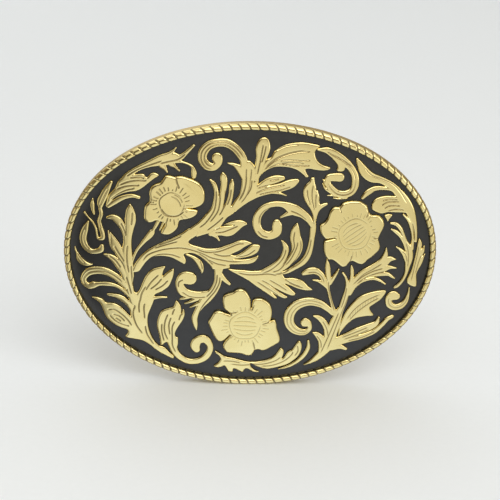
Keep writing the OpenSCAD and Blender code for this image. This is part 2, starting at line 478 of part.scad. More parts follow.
// Long sprig that climbs the lower right
spray_right_lower_drawing = [
    [
        [[25.2, -7.5, 0.7], [26.8, -5.4, 0.95], [29, -3.6, 1.3], [31.5, -2.2, 1.3], [33.5, -0.6, 1.1],
         [34.2, 1.2, 0.7], [34.3, 3.2, 0.12]],
        [[31, -2.5, 1], [33.5, -1.2, 1.2], [35.3, 0, 0.8], [36.9, -0.1, 0.2]],
        [[31, -3.2, 1], [33.5, -2.6, 1], [35.5, -2.3, 0.55], [37.2, -2.6, 0.2]],
        [[30, -3.8, 0.8], [33, -3.9, 0.7], [35.2, -4.2, 0.5], [36.2, -4.9, 0.4], [37, -5.5, 0.2]],
        [[25.4, -9, 0.7], [26.6, -7, 0.6], [28.6, -5.6, 0.5], [31, -5.1, 0.45], [33, -5.7, 0.4],
         [34.6, -6.9, 0.25]],
        [[25.5, -1.2, 0.2], [25.7, -2.4, 0.5], [25.8, -4, 0.5], [25.6, -6, 0.6], [25, -8, 0.8]],
        [[23.4, -3.1, 0.3], [24.1, -4.2, 0.35], [24.7, -6, 0.5], [24.8, -8, 0.7], [24.3, -10.5, 0.85],
         [23.6, -13, 0.8], [22.8, -15.5, 0.9]],
        [[19.1, 1, 0.1], [19.4, -1, 0.65], [19.6, -3, 0.7], [19.9, -5, 0.6], [19.8, -7, 0.4],
         [20.3, -9.5, 0.4], [21, -12, 0.45], [21.6, -14, 0.7]],
        [[22.3, -2, 0.2], [21.7, -3.2, 0.4], [21, -4.5, 0.5], [20.3, -6, 0.4]],
        [[13.3, -2.9, 0.55], [14.8, -2.3, 0.95], [16.4, -2.3, 0.9], [17.8, -3.3, 0.75],
         [18.6, -4.8, 0.65], [19.3, -6.2, 0.5], [19.9, -8, 0.4]],
        [[15.8, -4.8, 0.2], [17.2, -5.1, 0.4], [18.6, -5.9, 0.6], [19.5, -7, 0.4]],
        [[14.6, -30.2, 0.12], [16.3, -29.3, 0.5], [17.9, -28, 0.9], [19.4, -26.3, 1.2],
         [20.4, -24, 1.8], [21.2, -21, 1.6], [22, -18, 1.5], [22.7, -15.5, 1.2], [23.2, -13.5, 0.8]],
        [[21.5, -25, 1], [23.8, -24.9, 0.75], [25.4, -25.7, 0.45]],
        [[16.5, -20.2, 0.2], [17.8, -21, 0.8], [18.8, -22.5, 1], [19.1, -24.5, 1], [19, -26, 0.9]],
        [[16.4, -15.2, 0.2], [18, -15.9, 0.7], [19.3, -17.4, 0.85], [20, -19.3, 0.8], [20.3, -21.5, 0.9]],
        [[22, -23.4, 1.2], [25, -22, 1], [28, -20.5, 1.1], [31, -19.4, 1.1], [32.9, -18.4, 0.8],
         [33.6, -16.7, 0.3]],
        [[22.5, -23.5, 1.2], [26, -22.8, 0.9], [29.5, -22.1, 0.8], [32.5, -20.9, 0.75],
         [34.6, -19, 0.65], [35.9, -17.4, 0.65], [37.1, -16.7, 0.55]]
    ]
];
// Scroll beside the long sprig
scroll_bottom_right_drawing = [
    [
        [[21.4, -14.6, 0.7], [20, -13.2, 0.8], [18, -11.7, 1], [15, -10.95, 1.2], [12, -11.9, 1.35],
         [10.3, -14.2, 1.4], [10.2, -17, 1.35], [11.7, -19.2, 1.2], [14, -20, 0.95], [15.5, -19, 0.65],
         [15.3, -17.5, 0.75], [14.4, -17.1, 1.3]]
    ]
];
// Small scroll against the right rim
scroll_right_small_drawing = [
    [
        [[41.1, -8.6, 0.2], [41, -10.5, 0.4], [40.4, -12.5, 0.75], [39.2, -13.7, 0.95],
         [37.6, -13.95, 0.9], [36.2, -13, 0.95], [35.8, -11.4, 0.9], [36.8, -10.5, 1.35],
         [37.9, -10.8, 1]]
    ]
];
// Leaf and round scroll at the lower left
scroll_bottom_left_drawing = [
    [
        [[-20.4, -22.5, 1.2], [-19.7, -24.7, 1.1], [-19.1, -26.5, 0.95], [-17.8, -28.2, 0.85],
         [-15.6, -29.4, 0.85], [-13.2, -29.2, 0.85], [-11.2, -27.9, 0.9], [-10.1, -25.8, 0.85],
         [-10.2, -23.8, 0.9], [-11.5, -22.3, 1.15], [-13.2, -22.8, 1.2], [-13.9, -24.4, 1.3],
         [-13.5, -25.6, 0.95]],
        [[-18.9, -11.2], [-18, -12], [-17.5, -13.3], [-17.5, -15], [-17, -13.6], [-16.6, -15],
         [-17.1, -16.8], [-18.2, -18.8], [-19, -20.6], [-18.9, -21.9], [-18.3, -22.4], [-18.5, -25],
         [-20.2, -26], [-21.2, -23.8], [-22.7, -24.8], [-23.2, -21.8], [-23.8, -19], [-23.5, -16.5],
         [-22.6, -14.5], [-21, -13.6], [-19.6, -13]]
    ]
];
// Long wavy leaf along the bottom
leaf_bottom_drawing = [
    [
        [[-8.7, -25.8], [-7.8, -26.2], [-6.8, -27], [-5.8, -27.5], [-4, -27.9], [-2, -28.5], [0, -29],
         [2, -29], [4, -28.6], [5.6, -28], [6.9, -26.9], [7.7, -25.6], [8.3, -24.7], [9.1, -25.5],
         [9.1, -26.7], [8.7, -28.1], [9.4, -27.4], [10.1, -26], [11.2, -25.3], [11.9, -24.2],
         [12.5, -23.1], [13.1, -22.6], [13.7, -23.5], [13.8, -24.9], [13.5, -26.2], [12.8, -27.6],
         [11.6, -28.8], [10.3, -29.8], [8.5, -30.5], [6.7, -31], [5, -31.3], [3.3, -30.9], [1.8, -30.2],
         [0.6, -29.5], [0.8, -30.6], [1.8, -31.7], [2.9, -32.2], [1.7, -32.3], [0.6, -31.7],
         [-0.4, -31.2], [-1, -31.6], [-1.3, -32.3], [-2.2, -32], [-3.1, -31.4], [-3.8, -31.3],
         [-4, -32.2], [-5, -32.2], [-5.6, -31.4], [-6.2, -30.4], [-7, -30.8], [-8, -31], [-9, -30.7],
         [-8.5, -30.1], [-7.7, -29.3], [-7.3, -28.3], [-7.8, -27.2], [-8.6, -26.5]],
        [[15.4, -22.8, 0.35], [15.5, -24.6, 0.55], [14.9, -26.4, 0.6], [13.8, -28, 0.6],
         [12.2, -29.5, 0.5], [10.2, -30.7, 0.4], [7.9, -31.4, 0.12]]
    ]
];
// Five-petal flower at the left
flower_left_drawing = [
    [
        [[-25, 10.1], [-26, 10], [-27, 10.8], [-27.1, 12], [-27, 13.6], [-26.6, 14.6], [-25.8, 15.4],
         [-25.7, 16.5], [-25.8, 17.8], [-25.3, 19.1], [-24.2, 20], [-23, 20.5], [-22.3, 21.5],
         [-21.7, 22.3], [-20.5, 22.4], [-19.3, 22.1], [-18.9, 22.3], [-17.5, 22.4], [-16, 22],
         [-14.4, 21.4], [-13, 20.5], [-12.1, 19], [-11.9, 17.3], [-12.1, 16], [-13, 15], [-14.5, 14.4],
         [-16.2, 14.25], [-14.1, 14], [-13.6, 13.6], [-13.9, 12.7], [-14.9, 11.9], [-16.2, 11.4],
         [-17.9, 11], [-18.3, 10.3], [-18.5, 9.2], [-19.3, 8.1], [-20.5, 7.2], [-21.6, 7], [-22.8, 7.3],
         [-22.5, 8.4], [-21.8, 9.9], [-23, 10.4], [-24, 10.6]]
    ]
];
// Five-petal flower at the right
flower_right_drawing = [
    [
        [[17, 10.2], [17, 9], [17.3, 8], [18, 7], [18.7, 6.5], [20.8, 6.7], [18.5, 6.1], [18.1, 5.4],
         [18.1, 4], [18.3, 2.6], [18.9, 1.5], [19.5, 0.9], [20.4, 0.8], [21.3, 0.2], [22.3, -0.7],
         [23.2, -1.3], [24.2, -1], [24.9, 0], [25.6, 0.2], [26.3, -0.1], [27.2, -0.6], [28.2, -0.8],
         [29, -0.3], [29.6, 0.4], [30.6, 1.1], [31.6, 2], [32.4, 2.9], [32.6, 4], [32.3, 5.2],
         [32.1, 6], [32.6, 7.4], [33.2, 8.7], [33.4, 9.8], [33, 11], [32.3, 11.9], [31.2, 12.3],
         [30.2, 12.4], [29.4, 13], [29, 14], [28.7, 14.9], [27.8, 15.6], [26.8, 16.1], [25.2, 16.3],
         [23.7, 16.2], [22.5, 15.8], [21.7, 14.9], [20.4, 14.9], [19.4, 13.8], [18.8, 12], [18, 10.9]]
    ]
];
// Five-petal flower at the bottom
flower_bottom_drawing = [
    [
        [[-6.9, -9.3], [-5.9, -8.6], [-4.6, -8.1], [-3.6, -7.4], [-2.5, -7.1], [-1.2, -7.7],
         [-0.4, -8.9], [0.1, -10.2], [0.3, -12.6], [0.6, -10.4], [1.6, -9.8], [2.8, -9.8], [4, -10.4],
         [5, -11.3], [5.6, -12.8], [5.7, -14.5], [5.4, -15.8], [5.2, -16.3], [6.4, -16], [6.9, -17],
         [7.1, -18.5], [7.6, -20], [8, -21.5], [7.9, -22.6], [7, -23.4], [5.8, -24.2], [4.6, -25],
         [3.5, -25.3], [2.5, -25], [1.6, -25.2], [1.2, -26], [0.5, -26.8], [-0.6, -26.8], [-2, -26.3],
         [-4, -26.1], [-5.5, -26], [-6.3, -25.2], [-6.8, -24], [-6.3, -22.6], [-5, -20.7],
         [-6.6, -22.4], [-7.8, -22.6], [-8.8, -21.6], [-9.6, -20], [-10.3, -18.3], [-10.7, -17],
         [-10.2, -16], [-9.6, -14.8], [-9, -13.9], [-7.6, -13.6], [-5, -14.5], [-6.6, -12.8],
         [-6.9, -12], [-7.1, -10.6]]
    ]
];

// The middle of the whole depth, from the highest petal to the hook or a lug
petal_reach = min([for (p = smooth_loop(flower_bottom_drawing[0][0])) norm(p)]);
front_z = dome_z(flower_t, petal_reach);
rear_z = min(tip_low, hinge_z - lug_r);
middle_z = (front_z + rear_z) / 2;

// The buckle stands upright: drawn up becomes forwards, and its depth is centred
module upright() {
    rotate([90, 0, 0]) translate([0, 0, -middle_z]) children();
}

// A ball about the dome's centre, with its poles at the sides, away from the face
module dome_ball(layer) {
    translate([0, 0, -dome_r]) rotate([90, 0, 0]) sphere(r = dome_r + layer, $fn = dome_facets);
}

// What is drawn flat, cut out of the dome between two layers
module on_dome(bottom, top) {
    depth = dome_r / 2;
    difference() {
        intersection() {
            translate([0, 0, -depth]) linear_extrude(2 * depth) children();
            dome_ball(top);
        }
        dome_ball(bottom);
    }
}

// A stroke of changing width along a spine
module stroke(points) {
    spine = smooth_spine(points);
    last = len(spine) - 1;
    for (i = [0 : last - 1]) {
        here = sides(spine, i);
        next = sides(spine, i + 1);
        polygon([here[0], next[0], next[1], here[1]]);
    }
    for (end = [spine[0], spine[last]])
        translate([end.x, end.y]) circle(r = end.z, $fn = end_facets);
}

module shapes(list) {
    for (shape = list)
        if (len(shape[0]) == 3) stroke(shape);
        else polygon(smooth_loop(shape));
}

module drawn(drawing) {
    difference() {
        shapes(drawing[0]);
        if (len(drawing) > 1) shapes(drawing[1]);
    }
}

// A raised ornament, cut away around the ones that lie over it
module ornament(drawing, over_it = [], height = leaf_t) {
    on_dome(0, height)
        offset(delta = hairline) offset(delta = -2 * hairline) offset(delta = hairline)
            difference() {
                drawn(drawing);
                for (other = over_it) offset(delta = seam) drawn(other);
            }
}

module base_plate() {
    color(antique_gold) upright() on_dome(plate_back, plate_top) polygon(oval(plate_edge));
}

module enamel_field() {
    color(enamel_black) upright() on_dome(plate_top, 0) polygon(oval(rope_in));
}

module rope_rim() {
    color(gold) upright() on_dome(plate_top, rope_top)
        difference() {
            polygon(oval(rope_out));
            polygon(oval(rope_in));
        }
}

module flower_left() {
    color(gold) upright() ornament(flower_left_drawing, [], flower_t);
}

module flower_right() {
    color(gold) upright() ornament(flower_right_drawing, [], flower_t);
}

module flower_bottom() {
    color(gold) upright() ornament(flower_bottom_drawing, [], flower_t);
}

module spray_left() {
    color(gold) upright() ornament(spray_left_drawing);
}

module curl_left() {
    color(gold) upright() ornament(curl_left_drawing, [spray_left_drawing]);
}

module leaf_left_rim() {
    color(gold) upright() ornament(leaf_left_rim_drawing);
}

module curl_upper_left() {
    color(gold) upright() ornament(curl_upper_left_drawing);
}

module leaf_upper_left() {
    color(gold) upright() ornament(leaf_upper_left_drawing, [curl_upper_left_drawing]);
}

module stem_flower_left() {
    color(gold) upright() ornament(stem_flower_left_drawing, [spray_left_drawing, flower_left_drawing]);
}

module branch_main() {
    color(gold) upright() ornament(branch_main_drawing, [spray_left_drawing]);
}

module leaf_branch_upper() {
    color(gold) upright() ornament(leaf_branch_upper_drawing, [branch_main_drawing]);
}

module leaf_branch_small() {
    color(gold) upright() ornament(leaf_branch_small_drawing, [leaf_branch_upper_drawing]);
}

module curl_center() {
    color(gold) upright() ornament(curl_center_drawing, [branch_main_drawing]);
}

module scroll_top() {
    color(gold) upright() ornament(scroll_top_drawing, [leaf_branch_upper_drawing]);
}

module bud_top() {
    color(gold) upright() ornament(bud_top_drawing, [scroll_top_drawing]);
}

module leaf_top_right() {
    color(gold) upright() ornament(leaf_top_right_drawing, [scroll_top_drawing, bud_top_drawing]);
}

module hook_top_right() {
    color(gold) upright() ornament(hook_top_right_drawing, [leaf_top_right_drawing]);
}

module leaf_small_double() {
    color(gold) upright() ornament(leaf_small_double_drawing, [scroll_top_drawing]);
}

module leaf_vertical() {
    color(gold) upright() ornament(leaf_vertical_drawing);
}

module scroll_center_right() {
    color(gold) upright() ornament(scroll_center_right_drawing, [leaf_vertical_drawing]);
}

module leaf_center_right() {
    color(gold) upright() ornament(leaf_center_right_drawing, [leaf_vertical_drawing, scroll_center_right_drawing]);
}

module spray_right_rim() {
    color(gold) upright() ornament(spray_right_rim_drawing);
}

module leaf_right_rim() {
    color(gold) upright() ornament(leaf_right_rim_drawing);
}

module bud_right() {
    color(gold) upright() ornament(bud_right_drawing);
}

module leaf_lattice() {
    color(gold) upright() ornament(leaf_lattice_drawing);
}

module spray_right_lower() {
    color(gold) upright() ornament(spray_right_lower_drawing, [leaf_lattice_drawing]);
}

module scroll_bottom_right() {
    color(gold) upright() ornament(scroll_bottom_right_drawing, [spray_right_lower_drawing]);
}

module scroll_right_small() {
    color(gold) upright() ornament(scroll_right_small_drawing);
}

module scroll_bottom_left() {
    color(gold) upright() ornament(scroll_bottom_left_drawing, [spray_left_drawing]);
}

module leaf_bottom() {
    color(gold) upright() ornament(leaf_bottom_drawing);
}

// A quarter bend of the wire about a centre, from the +X side to the +Y side when unturned
module wire_bend(centre, turn) {
    translate([centre.x, centre.y, hinge_z]) rotate([0, 0, turn])
        rotate_extrude(angle = 90, $fn = bend_facets) translate([bend_r, 0])
            circle(r = wire_r, $fn = wire_facets);
}

module wire_along_x(from, to, y) {
    translate([from, y, hinge_z]) rotate([0, 90, 0]) cylinder(r = wire_r, h = to - from);
}

module wire_along_y(from, to, x) {
    translate([x, from, hinge_z]) rotate([-90, 0, 0]) cylinder(r = wire_r, h = to - from);
}

module bail() {
    color(gold) upright() {
        wire_along_y(bend_r - arm_y, arm_y - bend_r, bar_x);
        wire_along_x(hinge_x + bend_r, bar_x - bend_r, arm_y);
        wire_along_x(hinge_x + bend_r, bar_x - bend_r, -arm_y);
        wire_bend([bar_x - bend_r, arm_y - bend_r], 0);
        wire_bend([hinge_x + bend_r, arm_y - bend_r], 90);
        wire_bend([hinge_x + bend_r, bend_r - arm_y], 180);
        wire_bend([bar_x - bend_r, bend_r - arm_y], 270);
        wire_along_y(pin_end, arm_y - bend_r, hinge_x);
        wire_along_y(bend_r - arm_y, -pin_end, hinge_x);
    }
}

// A bored lug that seats on the plate's back and holds one pin of the bail
module lug(side) {
    difference() {
        intersection() {
            translate([hinge_x, side * (lug_face - lug_t / 2), hinge_z]) rotate([90, 0, 0]) {
                cylinder(r = lug_r, h = lug_t, center = true);
                translate([-lug_r, 0, -lug_t / 2]) cube([2 * lug_r, -hinge_z + over, lug_t]);
            }
            dome_ball(plate_back);
        }
        translate([hinge_x, side * (lug_face - lug_t / 2), hinge_z]) rotate([90, 0, 0])
            cylinder(r = wire_r + pin_gap, h = lug_t + 2 * over, center = true);
    }
}

module lug_upper() {
    color(antique_gold) upright() lug(1);
}

module lug_lower() {
    color(antique_gold) upright() lug(-1);
}

module hook_pad() {
    color(antique_gold) upright() intersection() {
        translate([hook_x, 0, pad_z]) cylinder(d = pad_d, h = -pad_z + over);
        dome_ball(plate_back);
    }
}

// A round hook: a straight root, a bend towards the plate's end, and a chamfered tip
module hook_prong() {
    color(gold) upright() translate([hook_x, 0, pad_z - hook_root]) {
        cylinder(r = hook_r, h = hook_root);
        translate([-hook_bend_r, 0, 0]) rotate([-90, 0, 0]) {
            rotate_extrude(angle = hook_bend, $fn = bend_facets) translate([hook_bend_r, 0])
                circle(r = hook_r, $fn = wire_facets);
            rotate([0, 0, hook_bend]) translate([hook_bend_r, 0, 0]) rotate([-90, 0, 0]) {
                cylinder(r = hook_r, h = hook_tip);
                translate([0, 0, hook_tip])
                    cylinder(r1 = hook_r, r2 = hook_r - hook_chamfer, h = hook_chamfer);
            }
        }
    }
}

base_plate();
enamel_field();
rope_rim();
flower_left();
flower_right();
flower_bottom();
spray_left();
curl_left();
leaf_left_rim();
curl_upper_left();
leaf_upper_left();
stem_flower_left();
branch_main();
leaf_branch_upper();
leaf_branch_small();
curl_center();
scroll_top();
bud_top();
leaf_top_right();
hook_top_right();
leaf_small_double();
leaf_vertical();
scroll_center_right();
leaf_center_right();
spray_right_rim();
leaf_right_rim();
bud_right();
leaf_lattice();
spray_right_lower();
scroll_bottom_right();
scroll_right_small();
scroll_bottom_left();
leaf_bottom();
bail();
lug_upper();
lug_lower();
hook_pad();
hook_prong();
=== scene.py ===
"""Looks of an oval dress belt buckle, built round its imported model.

The buckle stands upright: +X is to the viewer's right, +Z is up and the decorated front faces
-Y. Ornaments are drawn flat in millimetres, x to the right and z up from the face's middle, and
are then laid on the dome.
"""

import json
import logging
import math
from dataclasses import dataclass, field
from enum import Enum
from typing import Optional, Sequence, Union

import bpy
import numpy as np
from mathutils import Matrix, Vector


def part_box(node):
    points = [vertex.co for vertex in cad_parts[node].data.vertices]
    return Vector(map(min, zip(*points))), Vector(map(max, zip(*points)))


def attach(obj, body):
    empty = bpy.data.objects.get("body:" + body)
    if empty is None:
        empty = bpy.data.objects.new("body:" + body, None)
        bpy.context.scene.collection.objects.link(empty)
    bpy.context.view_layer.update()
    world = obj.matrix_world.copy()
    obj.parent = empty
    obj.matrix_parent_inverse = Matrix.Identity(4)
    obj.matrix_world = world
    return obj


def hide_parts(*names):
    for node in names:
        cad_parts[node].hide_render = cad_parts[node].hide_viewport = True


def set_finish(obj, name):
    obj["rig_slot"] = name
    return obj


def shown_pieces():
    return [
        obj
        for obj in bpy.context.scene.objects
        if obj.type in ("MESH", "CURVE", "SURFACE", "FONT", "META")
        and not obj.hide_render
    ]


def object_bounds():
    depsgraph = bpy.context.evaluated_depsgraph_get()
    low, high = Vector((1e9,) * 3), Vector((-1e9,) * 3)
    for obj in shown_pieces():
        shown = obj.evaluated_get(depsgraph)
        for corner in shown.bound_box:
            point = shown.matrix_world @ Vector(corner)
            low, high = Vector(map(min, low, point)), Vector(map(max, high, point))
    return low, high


LOG = logging.getLogger("belt_buckle")
MM = 0.001
TURN = 2 * math.pi
Point = tuple[float, ...]
Shape = list[Point]
Array = np.ndarray

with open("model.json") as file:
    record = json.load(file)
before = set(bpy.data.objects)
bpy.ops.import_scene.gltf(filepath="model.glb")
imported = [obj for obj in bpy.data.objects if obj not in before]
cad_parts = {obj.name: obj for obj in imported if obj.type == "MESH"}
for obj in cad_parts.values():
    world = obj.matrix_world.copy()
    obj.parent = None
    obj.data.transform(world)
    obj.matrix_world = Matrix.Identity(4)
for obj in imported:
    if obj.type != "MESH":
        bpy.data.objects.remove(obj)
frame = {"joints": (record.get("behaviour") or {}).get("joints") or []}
CAD_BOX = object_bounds()


class Slot(Enum):
    """The record's material slots."""

    ORNAMENT = "gold_plate"
    ROPE = "rope_gold"
    WIRE = "wire_gold"
    BACK = "antique_plate"
    ENAMEL = "black_enamel"


# ---------------------------------------------------------------------------------------------
# Meshes


def make_piece(name: str, points: Array, faces: Sequence[Array], slot: Slot, body: str,
               marks: Optional[dict[str, Array]] = None,
               arris: Optional[Array] = None) -> bpy.types.Object:
    """Puts a whole surface into one mesh object that rides on a CAD body.

    Args:
        name: the piece's name.
        points: (n, 3) corners in metres.
        faces: arrays of corner numbers, (m, 3), (m, 4) or (m, 5), anticlockwise from outside.
        slot: the record slot that the piece takes its finish from.
        body: the CAD body that it rides on.
        marks: values of one number per corner, kept as attributes for the materials.
        arris: whether each corner is on an arris; an edge between two of these stays sharp.

    Returns:
        The new object, shaded smooth.
    """
    mesh = bpy.data.meshes.new(name)
    mesh.vertices.add(len(points))
    mesh.vertices.foreach_set("co", np.ascontiguousarray(points, np.float32).ravel())
    faces = [block for block in faces if len(block)]
    loops = np.concatenate([block.ravel() for block in faces]).astype(np.int32)
    sizes = np.concatenate([np.full(len(block), block.shape[1]) for block in faces])
    mesh.loops.add(len(loops))
    mesh.loops.foreach_set("vertex_index", loops)
    mesh.polygons.add(len(sizes))
    mesh.polygons.foreach_set("loop_start", (np.cumsum(sizes) - sizes).astype(np.int32))
    mesh.polygons.foreach_set("use_smooth", np.ones(len(sizes), bool))
    mesh.update(calc_edges=True)
    mesh.validate()
    if arris is not None:
        ends = np.empty(len(mesh.edges) * 2, np.int32)
        mesh.edges.foreach_get("vertices", ends)
        crisp = mesh.attributes.new("sharp_edge", "BOOLEAN", "EDGE")
        crisp.data.foreach_set("value", arris[ends.reshape(-1, 2)].all(1))
    for mark, values in (marks or {}).items():
        attribute = mesh.attributes.new(mark, "FLOAT", "POINT")
        attribute.data.foreach_set("value", np.ascontiguousarray(values, np.float32))
    piece = bpy.data.objects.new(name, mesh)
    bpy.context.scene.collection.objects.link(piece)
    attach(piece, body)
    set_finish(piece, slot.value)
    LOG.info("%s: %d corners, %d faces", name, len(points), len(sizes))
    return piece


def grid_faces(rows: int, columns: int, close_rows: bool, close_columns: bool) -> Array:
    """Quads between neighbours on a grid of corners stored row by row.

    Args:
        rows: how many rows of corners there are.
        columns: how many corners are in a row.
        close_rows: whether the last row joins the first.
        close_columns: whether a row's last corner joins its first.

    Returns:
        (m, 4) corner numbers.
    """
    row = np.arange(rows if close_rows else rows - 1)[:, None]
    column = np.arange(columns if close_columns else columns - 1)[None, :]
    next_row, next_column = (row + 1) % rows, (column + 1) % columns
    corners = [row * columns + column, row * columns + next_column,
               next_row * columns + next_column, next_row * columns + column]
    return np.stack([np.broadcast_to(c, (row.size, column.size)) for c in corners], -1).reshape(-1, 4)


def fan_faces(ring: Array, hub: int, outward: bool) -> Array:
    """Triangles that close a ring of corners at one hub corner.

    Args:
        ring: the ring's corner numbers in order.
        hub: the hub's corner number.
        outward: whether the ring runs anticlockwise seen from outside.

    Returns:
        (m, 3) corner numbers.
    """
    ahead = np.roll(ring, -1)
    first, second = (ring, ahead) if outward else (ahead, ring)
    return np.stack([first, second, np.full(len(ring), hub)], -1)


# ---------------------------------------------------------------------------------------------
# Curves and distances in the flat drawing


def smooth(points: Sequence[Point], steps: int, closed: bool) -> Array:
    """Draws a Catmull-Rom curve through points.

    Between b and c, with a before and d after, the curve at share t is half of
    2b + t(c - a) + t^2(2a - 5b + 4c - d) + t^3(3b - a - 3c + d).

    Args:
        points: the drawn points.
        steps: how many steps each stretch takes.
        closed: whether the last point joins the first.

    Returns:
        (n, k) points; a closed curve ends on its first point again.
    """
    p = np.asarray(points, float)
    if closed:
        q = np.vstack([p[-1], p, p[0], p[1]])
    else:
        q = np.vstack([2 * p[0] - p[1], p, 2 * p[-1] - p[-2]])
    a, b, c, d = (q[i:len(q) - 3 + i, None, :] for i in range(4))
    t = (np.arange(steps) / steps)[None, :, None]
    curve = (2 * b + t * (c - a) + t**2 * (2 * a - 5 * b + 4 * c - d)
             + t**3 * (3 * b - a - 3 * c + d)) / 2
    end = p[:1] if closed else p[-1:]
    return np.vstack([curve.reshape(-1, p.shape[1]), end])


def nearest(spots: Array, curve: Array, reach: float) -> tuple[Array, Array]:
    """Distance from each spot to a polyline, and how far along it the nearest place is.

    A curve with a half width in its third column gives the distance to the stroke's edge, which
    is negative inside: distance to the spine less the half width there.

    Args:
        spots: (n, 2) places.
        curve: (m, 2) or (m, 3) points.
        reach: spots further than this from the curve's box aren't measured.

    Returns:
        The distances, no more than reach, and the shares along the curve from 0 to 1.
    """
    gap = np.full(len(spots), reach)
    share = np.zeros(len(spots))
    wide = curve[:, 2].max() if curve.shape[1] == 3 else 0.0
    low, high = curve[:, :2].min(0) - wide - reach, curve[:, :2].max(0) + wide + reach
    near = np.flatnonzero(((spots >= low) & (spots <= high)).all(1))
    start, along = curve[:-1, :2], np.diff(curve[:, :2], axis=0)
    squared = (along**2).sum(1) + 1e-12
    half = curve[:, 2] if curve.shape[1] == 3 else np.zeros(len(curve))
    block = max(1, 2_000_000 // len(along))
    for first in range(0, len(near), block):
        rows = near[first:first + block]
        away = spots[rows][:, None, :] - start[None]
        t = np.clip((away * along).sum(2) / squared, 0, 1)
        distance = np.hypot(*np.moveaxis(away - t[..., None] * along, 2, 0))
        distance -= half[:-1] + t * np.diff(half)
        best = distance.argmin(1)
        line = np.arange(len(rows))
        gap[rows] = np.minimum(distance[line, best], reach)
        share[rows] = (best + t[line, best]) / len(along)
    return gap, share


def inside(spots: Array, outline: Array) -> Array:
    """Whether each spot is inside a closed outline, by counting the edges to its right."""
    hits = np.zeros(len(spots), int)
    low, high = outline.min(0), outline.max(0)
    near = np.flatnonzero(((spots >= low) & (spots <= high)).all(1))
    (x0, z0), (x1, z1) = outline[:-1].T, outline[1:].T
    block = max(1, 2_000_000 // len(x0))
    for first in range(0, len(near), block):
        rows = near[first:first + block]
        x, z = spots[rows, 0][:, None], spots[rows, 1][:, None]
        spans = (z0 > z) != (z1 > z)
        with np.errstate(divide="ignore", invalid="ignore"):
            cross = x0 + (z - z0) * (x1 - x0) / (z1 - z0)
        hits[rows] = (spans & (x < cross)).sum(1)
    return hits % 2 == 1


def shape_distance(spots: Array, shape: Shape, reach: float) -> Array:
    """Signed distance to one drawn shape, negative inside.

    Args:
        spots: (n, 2) places.
        shape: a stroke's spine of (x, z, half width), or an outline of (x, z).
        reach: the largest distance that is measured.

    Returns:
        One distance for each spot.
    """
    if len(shape[0]) == 3:
        return nearest(spots, smooth(shape, 6, False), reach)[0]
    outline = smooth(shape, 5, True)
    gap, _ = nearest(spots, outline, reach)
    return np.where(inside(spots, outline), -gap, gap)


def drawing_distance(spots: Array, name: str, reach: float) -> Array:
    """Signed distance to a whole drawing: the least of its shapes', less its cutouts."""
    gap = np.minimum.reduce([shape_distance(spots, s, reach) for s in DRAWINGS[name]])
    for cut in CUTOUTS.get(name, []):
        gap = np.maximum(gap, -shape_distance(spots, cut, reach))
    return gap


